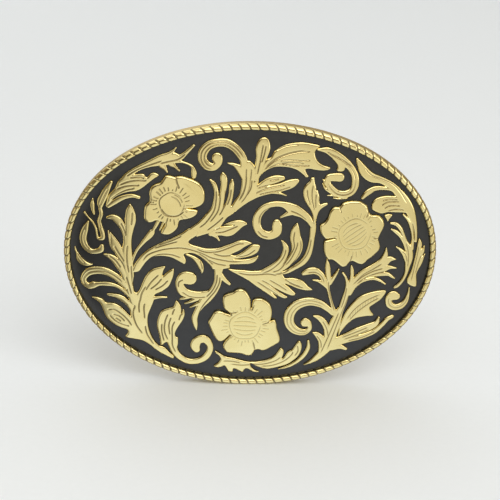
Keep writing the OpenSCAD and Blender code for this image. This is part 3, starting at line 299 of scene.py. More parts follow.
DRAWINGS: dict[str, list[Shape]] = {
    "spray_left": [
        [(-30.5, 14.3, 0.15), (-30.5, 12.6, 1.05), (-30.4, 10.5, 1.45), (-30.7, 8, 1.15),
         (-31, 5.5, 0.95), (-31.3, 3, 1.2), (-31.3, 0.5, 1.4), (-31.1, -2, 1.4), (-30.8, -4.5, 1.25),
         (-30.7, -7, 1.2), (-30.3, -9.5, 1.2), (-29.2, -12, 1.6)],
        [(-36.3, 10.3, 0.3), (-34.8, 10.5, 0.75), (-33.4, 9.6, 1), (-32.4, 8, 0.8), (-31.8, 6, 0.6),
         (-31.6, 4, 0.7)],
        [(-35.5, 6.4, 0.12), (-34.9, 4.8, 0.75), (-34.2, 3, 1.25), (-33.3, 1.3, 1.2), (-32.3, -0.5, 1),
         (-31.5, -2, 1)],
        [(-36, 6.8, 0.2), (-35.8, 5, 0.25), (-35.4, 3.2, 0.4), (-34.8, 2, 0.5)],
        [(-37.1, 0.3, 0.25), (-35.5, -0.2, 0.75), (-34.2, -1.2, 1), (-33.2, -2.6, 1),
         (-32.3, -4.2, 0.9), (-31.6, -6, 0.9)],
        [(-36.3, -10.9, 0.35), (-34.8, -11, 0.5), (-33, -11.5, 0.75), (-31.3, -12.8, 0.8),
         (-30, -14.5, 0.9), (-29.3, -16.5, 1.2)],
        [(-40.6, -12.1), (-39.2, -12), (-37.8, -12.4), (-36.8, -13.3), (-34.8, -13.3), (-33, -14.2),
         (-31.6, -15.6), (-30.3, -16.7), (-29.8, -15), (-29.6, -12), (-28.9, -9.8), (-28.2, -8.6),
         (-27.5, -6.6), (-26.6, -4.6), (-25.4, -3.1), (-23.8, -2.2), (-21.7, -1.7), (-22.1, -3),
         (-22.3, -4.4), (-21.2, -3.3), (-19.6, -2.2), (-19.5, -3.8), (-20.1, -5.8), (-20.8, -7.3),
         (-22.4, -8.7), (-24.3, -9.9), (-24.5, -11.5), (-25.2, -13.6), (-26, -16), (-26.1, -18.5),
         (-25.6, -21), (-24.5, -23.6), (-23.3, -24.9), (-22.4, -25.2), (-21.6, -25.6), (-20.6, -26.8),
         (-19.4, -28), (-19.6, -28.8), (-21, -28.2), (-23, -27.1), (-24.6, -25.9), (-26, -24.7),
         (-27.6, -23.8), (-29.5, -23.5), (-31.4, -23.3), (-32, -22.8), (-31.4, -21.8), (-31.7, -20.8),
         (-33.8, -20.1), (-35.6, -19), (-36.9, -17.6), (-37.7, -15.6), (-38.4, -13.8), (-39.4, -12.9)],
        [(-27, -12, 0.7), (-24.9, -11, 0.5), (-23, -10.5, 0.35), (-21.3, -10.4, 0.25)],
    ],
    "curl_left": [
        [(-31.5, -8.3, 0.8), (-32.7, -6.9, 1), (-34.6, -5.4, 1), (-36.8, -4.4, 1.05), (-39, -4.3, 1.05),
         (-41.2, -5, 1.05), (-42.5, -6.7, 0.85), (-42.4, -8.2, 0.8), (-41.2, -9, 0.85), (-40, -8.5, 0.9)],
        [(-40.2, -8.7, 0.9), (-38.5, -8.1, 0.55), (-36.5, -7.9, 0.6), (-34.5, -8.1, 0.5),
         (-32.5, -9.2, 0.5), (-30.6, -11.1, 0.45)],
    ],
    "leaf_left_rim": [
        [(-44.6, 1.8), (-44, 0.4), (-43.2, -0.8), (-42, -2), (-41, -2.5), (-40.1, -2.8), (-41.2, -3.3),
         (-42.5, -3.3), (-43.6, -2.8), (-44.3, -1.7), (-44.4, -0.2), (-44.8, 0.9)],
    ],
    "curl_upper_left": [
        [(-41.1, 8.8, 0.25), (-41.9, 6.8, 0.8), (-42.5, 4.5, 0.95), (-42.2, 2.6, 0.9), (-41, 1.1, 0.75),
         (-39.5, 0.85, 0.65), (-38, 1.5, 0.75), (-37.7, 2.5, 0.55)],
        [(-42, 11.1, 0.35), (-41.2, 10.1, 0.25), (-40, 8.8, 0.28), (-39.2, 7.3, 0.3), (-38.9, 5.6, 0.3),
         (-38.7, 4.5, 0.3)],
        [(-38, 12.4, 0.5), (-37.8, 11, 0.5), (-38.3, 9.3, 0.5), (-38, 7.6, 0.55), (-37.5, 6, 0.6),
         (-37.5, 4.8, 0.6), (-38.4, 4.4, 0.35)],
    ],
    "leaf_upper_left": [
        [(-32.8, 19.6, 0.6), (-31.2, 21.5, 0.75), (-28.6, 23.5, 0.65), (-25.5, 25, 0.9),
         (-22, 26.2, 1.5), (-19.5, 26.8, 1.3)],
        [(-22, 26.8, 0.8), (-20.3, 28, 0.5), (-19.1, 29.3, 0.12)],
        [(-19.5, 26.6, 1.1), (-17.8, 27.1, 0.7), (-16.4, 28.4, 0.5), (-14.8, 30, 0.35)],
        [(-19.3, 26.1, 0.7), (-17.5, 25.8, 0.3), (-16, 25.3, 0.3), (-15, 24.5, 0.45),
         (-14.7, 23.2, 0.72), (-14.7, 22.4, 0.65)],
        [(-22.8, 25, 0.9), (-22, 24.2, 0.6), (-21.3, 23.1, 0.25)],
        [(-20.5, 25.5, 0.9), (-19.5, 24.7, 0.5), (-18.3, 23.6, 0.25)],
        [(-36, 13.3, 0.5), (-34.3, 14.6, 0.65), (-32.2, 15.9, 0.6), (-30, 16.5, 0.5),
         (-28.3, 16.2, 0.45)],
        [(-36.6, 13.2), (-36.3, 15), (-35.8, 16.3), (-35, 17.3), (-34.3, 18.2), (-33.8, 19.4),
         (-33, 20.6), (-31, 21.8), (-29, 22.1), (-27.2, 22.3), (-26.3, 21.5), (-25.5, 22.4),
         (-24.4, 22.8), (-23.3, 22.2), (-24.4, 21.3), (-25.8, 20.1), (-27.3, 18.8), (-28.8, 17.9),
         (-31, 17.4), (-33, 16.6), (-34.5, 15.6), (-35.5, 14.2)],
        [(-38, 12.8, 0.5), (-37.9, 14.2, 0.95), (-37.2, 15.8, 1), (-36.4, 17.5, 0.85),
         (-35.2, 19.6, 0.4)],
        [(-39.9, 15, 0.12), (-40, 13.6, 0.55), (-39.9, 12.2, 0.5), (-39.6, 11, 0.3)],
    ],
    "stem_flower_left": [
        [(-30.2, -1.8, 0.25), (-29.5, 0.6, 0.35), (-28.6, 2.6, 0.4), (-27, 4.8, 0.55),
         (-25.6, 6.5, 0.8), (-25.1, 7.3, 0.75)],
        [(-25, 7.2, 0.7), (-24.6, 8.1, 0.4), (-24, 9.2, 0.46), (-23.4, 10.5, 0.5)],
        [(-23.1, 8, 0.2), (-22.7, 8.8, 0.3), (-22.1, 10.2, 0.34), (-21.8, 11, 0.34)],
    ],
    "branch_main": [
        [(-30, -3.8), (-29.6, -2), (-28.8, -0.5), (-27.4, 1.3), (-25.6, 2.9), (-23, 4.5), (-20, 6.1),
         (-17.5, 7.6), (-15.5, 9), (-13.5, 8), (-14.2, 6.8), (-15.3, 6), (-15.8, 5.2), (-15, 4.6),
         (-13.5, 4.2), (-11.8, 3.8), (-9.8, 3.8), (-8, 4.1), (-6.5, 4.7), (-5, 5.3), (-3.5, 6),
         (-2, 6.2), (-0.6, 5.8), (0, 5.4), (-1.4, 4.6), (-3, 3.4), (-5, 2.4), (-4, 2.1), (-2.5, 2.9),
         (-1, 4.1), (0.3, 5.1), (2, 4.9), (2, 4), (1.5, 3), (0.5, 2.3), (-0.8, 1.8), (-2.5, 1.4),
         (-4.5, 1.1), (-2.5, 1), (-0.5, 1.3), (1, 1.8), (1.7, 2.1), (1.5, 1.2), (0.7, 0.3),
         (-0.6, -0.2), (-2.2, -0.3), (-4, -0.4), (-5.4, -0.5), (-5.4, -1.3), (-7.2, -1.8), (-9.6, -1.9),
         (-10.3, -1), (-11.2, 0), (-12.2, 0.9), (-13.3, 1.7), (-14.4, 2.2), (-15.6, 2.3), (-16.9, 1.9),
         (-16.6, 0.8), (-16.4, 0), (-16.8, -0.8), (-17.7, -0.4), (-19, 0.3), (-20.4, 0.9), (-22, 1.1),
         (-23.6, 1), (-25, 0.6), (-26.4, -0.7), (-27.4, -2.2), (-28.4, -3.6)],
    ],
    "leaf_branch_upper": [
        [(-10.6, 21.6, 0.3), (-9.6, 20.4, 0.6), (-9.1, 18.6, 0.6), (-9.1, 16.5, 0.75), (-9.4, 14, 1.1),
         (-10.5, 11.8, 1.5), (-12.3, 9.7, 1.5), (-14.5, 8.3, 1.2)],
        [(-7.6, 23.5, 0.2), (-7.4, 22.4, 0.85), (-7.2, 20.8, 0.85), (-7.5, 18.5, 0.75), (-7.9, 16, 0.8),
         (-8.6, 13.5, 1.1), (-10.5, 10.5, 1.3)],
        [(-5.2, 21.8, 0.25), (-5.3, 20.3, 0.65), (-5.5, 18, 0.65), (-6, 15.8, 0.75), (-7, 13.3, 1.1),
         (-9, 10.5, 1.4)],
        [(-5.4, 15.2), (-4.9, 14.8), (-4.4, 13.6), (-6, 12.3), (-7.6, 10.9), (-9, 9.3), (-10.5, 8),
         (-12.5, 7.2), (-14, 6.8), (-14, 8.3), (-11, 11), (-9, 13.5), (-7, 15)],
    ],
    "leaf_branch_small": [
        [(-10.8, 8.9), (-8.9, 9.2), (-7, 10.3), (-5.5, 11), (-3.8, 11.5), (-2.2, 11.3), (-1.2, 10.5),
         (-2.3, 9.8), (-3.5, 8.6), (-4.8, 7.5), (-6.3, 7.1), (-7.9, 7.3), (-9.5, 7.1), (-11, 7.3)],
        [(-10, 7.6, 0.5), (-8.9, 6.9, 0.4), (-8.2, 6, 0.25)],
    ],
    "curl_center": [
        [(-8.2, -1.7, 1.2), (-8.3, -3, 1), (-8.4, -5.5, 1), (-9.3, -7.8, 1.1), (-11, -10, 1.3),
         (-12.4, -12, 1), (-13.5, -14, 0.75), (-14.1, -16, 0.8), (-13.9, -18, 0.65), (-13.6, -19.5, 0.2)],
        [(-7.8, -3.2, 0.7), (-6.8, -4.6, 0.6), (-5.4, -5.9, 0.4)],
        [(-10.5, -8.8, 0.9), (-13, -9.4, 1.1), (-15.5, -9.1, 1.1), (-17.2, -8.4, 1.3), (-18, -6.6, 1.1),
         (-17.5, -5, 1.3), (-16.4, -4.6, 1.75), (-15.4, -4.7, 1.75)],
        [(-15, -9.6, 0.6), (-16.5, -10.3, 0.45), (-17.8, -10.7, 0.25)],
        [(-13.5, -10.4, 0.6), (-15, -11.2, 0.42), (-16.6, -11.9, 0.22)],
        [(-12.4, -11.4, 0.6), (-14, -12.2, 0.42), (-15.2, -12.9, 0.22)],
        [(-16.3, 1.9, 0.3), (-14.9, 1.3, 0.4), (-13.6, 0.3, 0.7), (-12.8, -0.9, 0.75),
         (-12.4, -2.2, 0.5), (-12.4, -3.1, 0.12)],
    ],
    "scroll_top": [
        [(-2.2, 24.5, 1.2), (-2.4, 26.4, 1), (-3.2, 28, 1.1), (-4.8, 29.8, 1.1), (-6.8, 30.9, 1.1),
         (-9, 30.9, 1.05), (-11, 30.2, 1.1), (-12.4, 28.6, 1.2), (-12.6, 26.7, 1.15),
         (-11.5, 25.2, 1.15), (-9.8, 24.9, 0.95), (-8.7, 26, 0.95), (-9, 27.1, 1.35)],
        [(-1.2, 26, 0.7), (-1.2, 24.4, 1.7), (-1.3, 22.5, 1.6), (-1.5, 20, 1.5), (-2.3, 17.8, 1.2),
         (-3.7, 15.9, 1), (-5, 14.6, 0.5)],
        [(-6.3, 25.9, 0.2), (-4.9, 25.6, 0.45), (-3.4, 24.5, 0.9), (-2.2, 22.5, 0.9)],
        [(-5, 14.9), (-3.5, 17), (-1, 19), (0, 21.5), (1.3, 22), (1, 20), (0.8, 18.4), (1, 17.4),
         (-0.4, 16.6), (-2, 15.5), (-3.5, 14.3), (-4.4, 13.6)],
    ],
    "bud_top": [
        [(2.6, 32.1, 0.35), (2.4, 31, 1.45), (2.2, 29.5, 1.8), (1.9, 27.8, 1.4), (1.5, 26, 1.2),
         (1.1, 24.2, 1), (0.6, 22.3, 0.8)],
    ],
    "leaf_top_right": [
        [(0.6, 21.5), (1.6, 24.6), (3, 26.9), (4.2, 27.6), (5, 29), (6.4, 30), (8, 30.8), (10, 31.2),
         (12, 31.3), (14, 31), (16.3, 30.4), (15.6, 29.6), (15.1, 28.7), (15.4, 27.3), (16.2, 26.2),
         (17.3, 25.5), (19, 24.9), (18.6, 24.3), (17.3, 24.1), (15.5, 24.3), (14, 24.6), (12.9, 24.5),
         (13.2, 23.6), (13.7, 22.7), (13, 22.5), (12, 23.4), (10.8, 24.3), (9.5, 24.8), (8, 25.1),
         (6, 25.2), (4.5, 24.9), (3, 24.1), (1.8, 23)],
    ],
    "hook_top_right": [
        [(15.8, 29.4, 0.3), (18, 29.2, 0.8), (20, 28.1, 1.1), (22, 26.7, 1.1), (24, 24.9, 0.95),
         (25.2, 22.8, 0.95), (25.5, 20.6, 0.95), (24.8, 18.8, 0.95), (23.2, 18, 0.95),
         (21.2, 18.2, 0.9), (19.7, 19.3, 0.9), (18.6, 20.8, 0.8), (18.7, 22.2, 0.9), (20, 22.4, 1.05),
         (21.6, 22.3, 1.1)],
        [(18.4, 28.4), (19.3, 27.2), (20.1, 26.3), (20.8, 25.2), (20.7, 24), (22.4, 23.9), (22.9, 25.2),
         (23.4, 26.2), (21.5, 27.8)],
        [(17.3, 21.9, 0.15), (17.9, 20.9, 0.4), (19, 19.8, 0.5)],
        [(17.2, 20.9, 0.12), (17.9, 19.6, 0.3), (19.4, 18.7, 0.5)],
        [(18.5, 17.8, 0.12), (20, 17.8, 0.3), (21.5, 17.7, 0.4)],
        [(20, 17.1, 0.1), (21.5, 16.9, 0.25), (23.3, 17.1, 0.4)],
    ],
    "leaf_small_double": [
        [(-0.5, 18.8, 1.3), (1.5, 20, 0.85), (3.5, 21.4, 0.95), (5.5, 22.1, 1), (7.3, 22.4, 0.55)],
        [(-1.5, 17.1, 1), (1, 18.5, 1.1), (4, 19.4, 1.1), (7, 20.1, 1.15), (9.3, 20.9, 1.15),
         (10.8, 21.6, 0.6)],
        [(4.5, 18.9, 0.5), (6.7, 18.5, 0.3), (8.3, 17.9, 0.12)],
    ],
    "leaf_vertical": [
        [(15.1, 22.5), (14.3, 22.4), (14, 21.6), (13.2, 20.8), (12.6, 19.8), (12.4, 18.6), (12.6, 17.3),
         (13.2, 16), (14, 14.8), (14.7, 13.5), (15.1, 12.2), (15.3, 10.9), (15.8, 10.8), (16.2, 12.4),
         (16.7, 13.8), (17.6, 14.7), (18.7, 15.4), (18.6, 15.9), (17.8, 15.9), (16.9, 15.6),
         (16.6, 16.5), (16.6, 17.6), (16.3, 18.6), (16.1, 19.2), (15.8, 19.2), (15.7, 20), (15.4, 21),
         (15.2, 22)],
    ],
    "scroll_center_right": [
        [(14.8, 10.3, 0.6), (14, 11.8, 0.9), (12.4, 13.2, 1.1), (10.2, 14.3, 1.4), (7.6, 15.6, 0.8),
         (5, 15.7, 0.75), (2.7, 14.6, 0.9), (1.3, 12.6, 1.05), (1.1, 10.3, 1.1), (2.1, 8.3, 1.1),
         (4.2, 7.5, 1.1), (6, 8.3, 1.2), (6.2, 9.8, 1.3), (6.1, 10.8, 1)],
        [(10, 13.8, 0.9), (8.3, 13, 0.5), (7, 12.3, 0.25)],
    ],
    "leaf_center_right": [
        [(15.5, 11.4, 0.35), (15.3, 9.5, 0.8), (15.1, 7, 0.72), (14.8, 4.5, 0.75), (14.2, 2.2, 0.85),
         (13, 0.3, 0.85), (11, -1.2, 0.65), (9, -2.4, 0.5), (6.5, -2.9, 0.35)],
        [(7.4, 6.2, 0.12), (8.2, 5.1, 0.6), (8.6, 3.8, 0.8), (8.2, 2, 0.85), (7.2, 0.4, 0.9),
         (5.6, -1, 0.9), (3, -2.8, 1)],
        [(11.2, 10.5, 0.3), (10.9, 9, 1), (10.9, 7, 1.4), (11.4, 5, 1.5), (11.2, 3, 1.3), (10, 1, 1.05),
         (8.3, -0.8, 0.9), (6, -2.3, 0.8)],
        [(-5.8, -1.6), (-4, -1.8), (-2, -1.9), (0, -2.1), (2, -2), (4, -1.5), (6, -1.4), (8, -3.1),
         (8.8, -4.5), (9, -5.6), (7, -6), (4, -6), (1.5, -5), (0, -5.1), (-2, -4), (-4, -2.9),
         (-5.4, -2.1)],
        [(-1, -3.7, 0.6), (1.5, -5.5, 0.8), (4, -7.5, 0.65), (6, -9.3, 0.4), (6.6, -9.7, 0.2)],
        [(1, -4, 0.8), (4, -6.1, 0.7), (6.4, -8, 0.65), (8.4, -9.3, 0.5), (9.1, -9.5, 0.35)],
        [(3, -3.8, 1), (6, -5.5, 1.1), (8.5, -7, 1.1), (10.4, -8.3, 0.75), (11, -8.6, 0.5)],
        [(5, -3.6, 1.2), (8, -4.7, 0.7), (10.5, -5.2, 1.1), (12.5, -6, 1.25), (14.2, -7, 0.7),
         (15.6, -7.5, 0.2)],
    ],
    "spray_right_rim": [
        [(25.7, 26.8, 0.35), (26.6, 25.2, 0.85), (27.7, 23.5, 1.2), (29.5, 22, 1.2), (32, 21.2, 0.9),
         (34.5, 19.8, 0.9), (36.7, 17.7, 1.1), (38.5, 15.3, 1.3), (39.9, 12.8, 1.2), (41, 10, 0.8),
         (41.7, 7, 0.5), (41.9, 4.5, 0.4)],
        [(27.5, 16.9, 0.45), (28.8, 18.2, 0.75), (30.5, 19.1, 0.65), (32.7, 19.1, 0.5), (35, 18.6, 0.5),
         (37, 17, 0.8)],
        [(30.2, 15.8), (31.2, 16.7), (33, 17.1), (35.2, 17), (37.5, 16.5), (39.5, 14), (40, 12.2),
         (38, 12.4), (36, 12.6), (34, 12.8), (32.6, 12.5), (31, 13.1), (30, 13.8), (29.9, 14.8)],
        [(38.2, 11.9, 0.25), (39.5, 10.5, 0.4), (40.4, 8.6, 0.45), (40.9, 6.5, 0.35), (41.1, 4.5, 0.4),
         (41, 2.5, 0.55)],
        [(35.1, 9.8, 0.3), (36.6, 9.4, 0.5), (37.7, 8.2, 0.5), (38.5, 6.5, 0.45), (39.3, 4.5, 0.5),
         (40.2, 2.5, 0.9), (40.4, 0, 1.1), (40.2, -2.4, 0.7), (39.9, -4.5, 0.45), (39.1, -6.3, 0.45),
         (37.9, -7.7, 0.5), (37.1, -8.1, 0.3)],
        [(35.3, 8.2, 0.2), (36.6, 7.4, 0.5), (37.9, 6.1, 0.5), (38.8, 4.3, 0.4), (39.6, 2.6, 0.5)],
        [(36.9, 3.3, 0.2), (38, 2.5, 0.4), (39, 1.3, 0.6), (40, -0.5, 0.8)],
    ],
    "leaf_right_rim": [
        [(42.9, 5.1), (42.5, 4.2), (42.2, 1.5), (41.8, -1), (41.3, -3.5), (40.3, -6.9), (42.9, -8.4),
         (42.8, -5), (43.2, -3.6), (44.1, -1.8), (44.7, 0.8), (43.9, 0.1), (44.5, 1.5), (44.3, 3.1),
         (43.6, 2.2), (43.7, 3.8)],
    ],
    "bud_right": [
        [(33.3, 12), (34.3, 12.3), (35.4, 12), (34.7, 11), (34.2, 10.3), (33.8, 11)],
    ],
    "leaf_lattice": [
        [(24.6, -14.6), (26, -12.3), (28, -10.2), (31, -9), (34.9, -8.8), (34, -11), (32.3, -12.4),
         (31, -13.4), (31.4, -14.6), (32.1, -15.9), (30, -16), (27.5, -16.4), (25.6, -17.8), (24, -20),
         (23.2, -21.5), (23.3, -18.5)],
    ],
    "spray_right_lower": [
        [(25.2, -7.5, 0.7), (26.8, -5.4, 0.95), (29, -3.6, 1.3), (31.5, -2.2, 1.3), (33.5, -0.6, 1.1),
         (34.2, 1.2, 0.7), (34.3, 3.2, 0.12)],
        [(31, -2.5, 1), (33.5, -1.2, 1.2), (35.3, 0, 0.8), (36.9, -0.1, 0.2)],
        [(31, -3.2, 1), (33.5, -2.6, 1), (35.5, -2.3, 0.55), (37.2, -2.6, 0.2)],
        [(30, -3.8, 0.8), (33, -3.9, 0.7), (35.2, -4.2, 0.5), (36.2, -4.9, 0.4), (37, -5.5, 0.2)],
        [(25.4, -9, 0.7), (26.6, -7, 0.6), (28.6, -5.6, 0.5), (31, -5.1, 0.45), (33, -5.7, 0.4),
         (34.6, -6.9, 0.25)],
        [(25.5, -1.2, 0.2), (25.7, -2.4, 0.5), (25.8, -4, 0.5), (25.6, -6, 0.6), (25, -8, 0.8)],
        [(23.4, -3.1, 0.3), (24.1, -4.2, 0.35), (24.7, -6, 0.5), (24.8, -8, 0.7), (24.3, -10.5, 0.85),
         (23.6, -13, 0.8), (22.8, -15.5, 0.9)],
        [(19.1, 1, 0.1), (19.4, -1, 0.65), (19.6, -3, 0.7), (19.9, -5, 0.6), (19.8, -7, 0.4),
         (20.3, -9.5, 0.4), (21, -12, 0.45), (21.6, -14, 0.7)],
        [(22.3, -2, 0.2), (21.7, -3.2, 0.4), (21, -4.5, 0.5), (20.3, -6, 0.4)],
        [(13.3, -2.9, 0.55), (14.8, -2.3, 0.95), (16.4, -2.3, 0.9), (17.8, -3.3, 0.75),
         (18.6, -4.8, 0.65), (19.3, -6.2, 0.5), (19.9, -8, 0.4)],
        [(15.8, -4.8, 0.2), (17.2, -5.1, 0.4), (18.6, -5.9, 0.6), (19.5, -7, 0.4)],
        [(14.6, -30.2, 0.12), (16.3, -29.3, 0.5), (17.9, -28, 0.9), (19.4, -26.3, 1.2),
         (20.4, -24, 1.8), (21.2, -21, 1.6), (22, -18, 1.5), (22.7, -15.5, 1.2), (23.2, -13.5, 0.8)],
        [(21.5, -25, 1), (23.8, -24.9, 0.75), (25.4, -25.7, 0.45)],
        [(16.5, -20.2, 0.2), (17.8, -21, 0.8), (18.8, -22.5, 1), (19.1, -24.5, 1), (19, -26, 0.9)],
        [(16.4, -15.2, 0.2), (18, -15.9, 0.7), (19.3, -17.4, 0.85), (20, -19.3, 0.8), (20.3, -21.5, 0.9)],
        [(22, -23.4, 1.2), (25, -22, 1), (28, -20.5, 1.1), (31, -19.4, 1.1), (32.9, -18.4, 0.8),
         (33.6, -16.7, 0.3)],
        [(22.5, -23.5, 1.2), (26, -22.8, 0.9), (29.5, -22.1, 0.8), (32.5, -20.9, 0.75),
         (34.6, -19, 0.65), (35.9, -17.4, 0.65), (37.1, -16.7, 0.55)],
    ],
    "scroll_bottom_right": [
        [(21.4, -14.6, 0.7), (20, -13.2, 0.8), (18, -11.7, 1), (15, -10.95, 1.2), (12, -11.9, 1.35),
         (10.3, -14.2, 1.4), (10.2, -17, 1.35), (11.7, -19.2, 1.2), (14, -20, 0.95), (15.5, -19, 0.65),
         (15.3, -17.5, 0.75), (14.4, -17.1, 1.3)],
    ],
    "scroll_right_small": [
        [(41.1, -8.6, 0.2), (41, -10.5, 0.4), (40.4, -12.5, 0.75), (39.2, -13.7, 0.95),
         (37.6, -13.95, 0.9), (36.2, -13, 0.95), (35.8, -11.4, 0.9), (36.8, -10.5, 1.35),
         (37.9, -10.8, 1)],
    ],
    "scroll_bottom_left": [
        [(-20.4, -22.5, 1.2), (-19.7, -24.7, 1.1), (-19.1, -26.5, 0.95), (-17.8, -28.2, 0.85),
         (-15.6, -29.4, 0.85), (-13.2, -29.2, 0.85), (-11.2, -27.9, 0.9), (-10.1, -25.8, 0.85),
         (-10.2, -23.8, 0.9), (-11.5, -22.3, 1.15), (-13.2, -22.8, 1.2), (-13.9, -24.4, 1.3),
         (-13.5, -25.6, 0.95)],
        [(-18.9, -11.2), (-18, -12), (-17.5, -13.3), (-17.5, -15), (-17, -13.6), (-16.6, -15),
         (-17.1, -16.8), (-18.2, -18.8), (-19, -20.6), (-18.9, -21.9), (-18.3, -22.4), (-18.5, -25),
         (-20.2, -26), (-21.2, -23.8), (-22.7, -24.8), (-23.2, -21.8), (-23.8, -19), (-23.5, -16.5),
         (-22.6, -14.5), (-21, -13.6), (-19.6, -13)],
    ],
    "leaf_bottom": [
        [(-8.7, -25.8), (-7.8, -26.2), (-6.8, -27), (-5.8, -27.5), (-4, -27.9), (-2, -28.5), (0, -29),
         (2, -29), (4, -28.6), (5.6, -28), (6.9, -26.9), (7.7, -25.6), (8.3, -24.7), (9.1, -25.5),
         (9.1, -26.7), (8.7, -28.1), (9.4, -27.4), (10.1, -26), (11.2, -25.3), (11.9, -24.2),
         (12.5, -23.1), (13.1, -22.6), (13.7, -23.5), (13.8, -24.9), (13.5, -26.2), (12.8, -27.6),
         (11.6, -28.8), (10.3, -29.8), (8.5, -30.5), (6.7, -31), (5, -31.3), (3.3, -30.9), (1.8, -30.2),
         (0.6, -29.5), (0.8, -30.6), (1.8, -31.7), (2.9, -32.2), (1.7, -32.3), (0.6, -31.7),
         (-0.4, -31.2), (-1, -31.6), (-1.3, -32.3), (-2.2, -32), (-3.1, -31.4), (-3.8, -31.3),
         (-4, -32.2), (-5, -32.2), (-5.6, -31.4), (-6.2, -30.4), (-7, -30.8), (-8, -31), (-9, -30.7),
         (-8.5, -30.1), (-7.7, -29.3), (-7.3, -28.3), (-7.8, -27.2), (-8.6, -26.5)],
        [(15.4, -22.8, 0.35), (15.5, -24.6, 0.55), (14.9, -26.4, 0.6), (13.8, -28, 0.6),
         (12.2, -29.5, 0.5), (10.2, -30.7, 0.4), (7.9, -31.4, 0.12)],
    ],
    "flower_left": [
        [(-25, 10.1), (-26, 10), (-27, 10.8), (-27.1, 12), (-27, 13.6), (-26.6, 14.6), (-25.8, 15.4),
         (-25.7, 16.5), (-25.8, 17.8), (-25.3, 19.1), (-24.2, 20), (-23, 20.5), (-22.3, 21.5),
         (-21.7, 22.3), (-20.5, 22.4), (-19.3, 22.1), (-18.9, 22.3), (-17.5, 22.4), (-16, 22),
         (-14.4, 21.4), (-13, 20.5), (-12.1, 19), (-11.9, 17.3), (-12.1, 16), (-13, 15), (-14.5, 14.4),
         (-16.2, 14.25), (-14.1, 14), (-13.6, 13.6), (-13.9, 12.7), (-14.9, 11.9), (-16.2, 11.4),
         (-17.9, 11), (-18.3, 10.3), (-18.5, 9.2), (-19.3, 8.1), (-20.5, 7.2), (-21.6, 7), (-22.8, 7.3),
         (-22.5, 8.4), (-21.8, 9.9), (-23, 10.4), (-24, 10.6)],
    ],
    "flower_right": [
        [(17, 10.2), (17, 9), (17.3, 8), (18, 7), (18.7, 6.5), (20.8, 6.7), (18.5, 6.1), (18.1, 5.4),
         (18.1, 4), (18.3, 2.6), (18.9, 1.5), (19.5, 0.9), (20.4, 0.8), (21.3, 0.2), (22.3, -0.7),
         (23.2, -1.3), (24.2, -1), (24.9, 0), (25.6, 0.2), (26.3, -0.1), (27.2, -0.6), (28.2, -0.8),
         (29, -0.3), (29.6, 0.4), (30.6, 1.1), (31.6, 2), (32.4, 2.9), (32.6, 4), (32.3, 5.2),
         (32.1, 6), (32.6, 7.4), (33.2, 8.7), (33.4, 9.8), (33, 11), (32.3, 11.9), (31.2, 12.3),
         (30.2, 12.4), (29.4, 13), (29, 14), (28.7, 14.9), (27.8, 15.6), (26.8, 16.1), (25.2, 16.3),
         (23.7, 16.2), (22.5, 15.8), (21.7, 14.9), (20.4, 14.9), (19.4, 13.8), (18.8, 12), (18, 10.9)],
    ],
    "flower_bottom": [
        [(-6.9, -9.3), (-5.9, -8.6), (-4.6, -8.1), (-3.6, -7.4), (-2.5, -7.1), (-1.2, -7.7),
         (-0.4, -8.9), (0.1, -10.2), (0.3, -12.6), (0.6, -10.4), (1.6, -9.8), (2.8, -9.8), (4, -10.4),
         (5, -11.3), (5.6, -12.8), (5.7, -14.5), (5.4, -15.8), (5.2, -16.3), (6.4, -16), (6.9, -17),
         (7.1, -18.5), (7.6, -20), (8, -21.5), (7.9, -22.6), (7, -23.4), (5.8, -24.2), (4.6, -25),
         (3.5, -25.3), (2.5, -25), (1.6, -25.2), (1.2, -26), (0.5, -26.8), (-0.6, -26.8), (-2, -26.3),
         (-4, -26.1), (-5.5, -26), (-6.3, -25.2), (-6.8, -24), (-6.3, -22.6), (-5, -20.7),
         (-6.6, -22.4), (-7.8, -22.6), (-8.8, -21.6), (-9.6, -20), (-10.3, -18.3), (-10.7, -17),
         (-10.2, -16), (-9.6, -14.8), (-9, -13.9), (-7.6, -13.6), (-5, -14.5), (-6.6, -12.8),
         (-6.9, -12), (-7.1, -10.6)],
    ],
}
CUTOUTS: dict[str, list[Shape]] = {
    "spray_left": [
        [(-29.1, -9.2, 0.45), (-29.1, -7, 0.75), (-28.5, -5, 0.95), (-27.2, -3.2, 1.1)],
    ],
    "leaf_branch_small": [
        [(-9.2, 9.4, 0.14), (-7.6, 9.9, 0.18), (-6.2, 10.1, 0.12), (-4.7, 10.2, 0.04)],
    ],
}


# ---------------------------------------------------------------------------------------------
# The dome and the oval


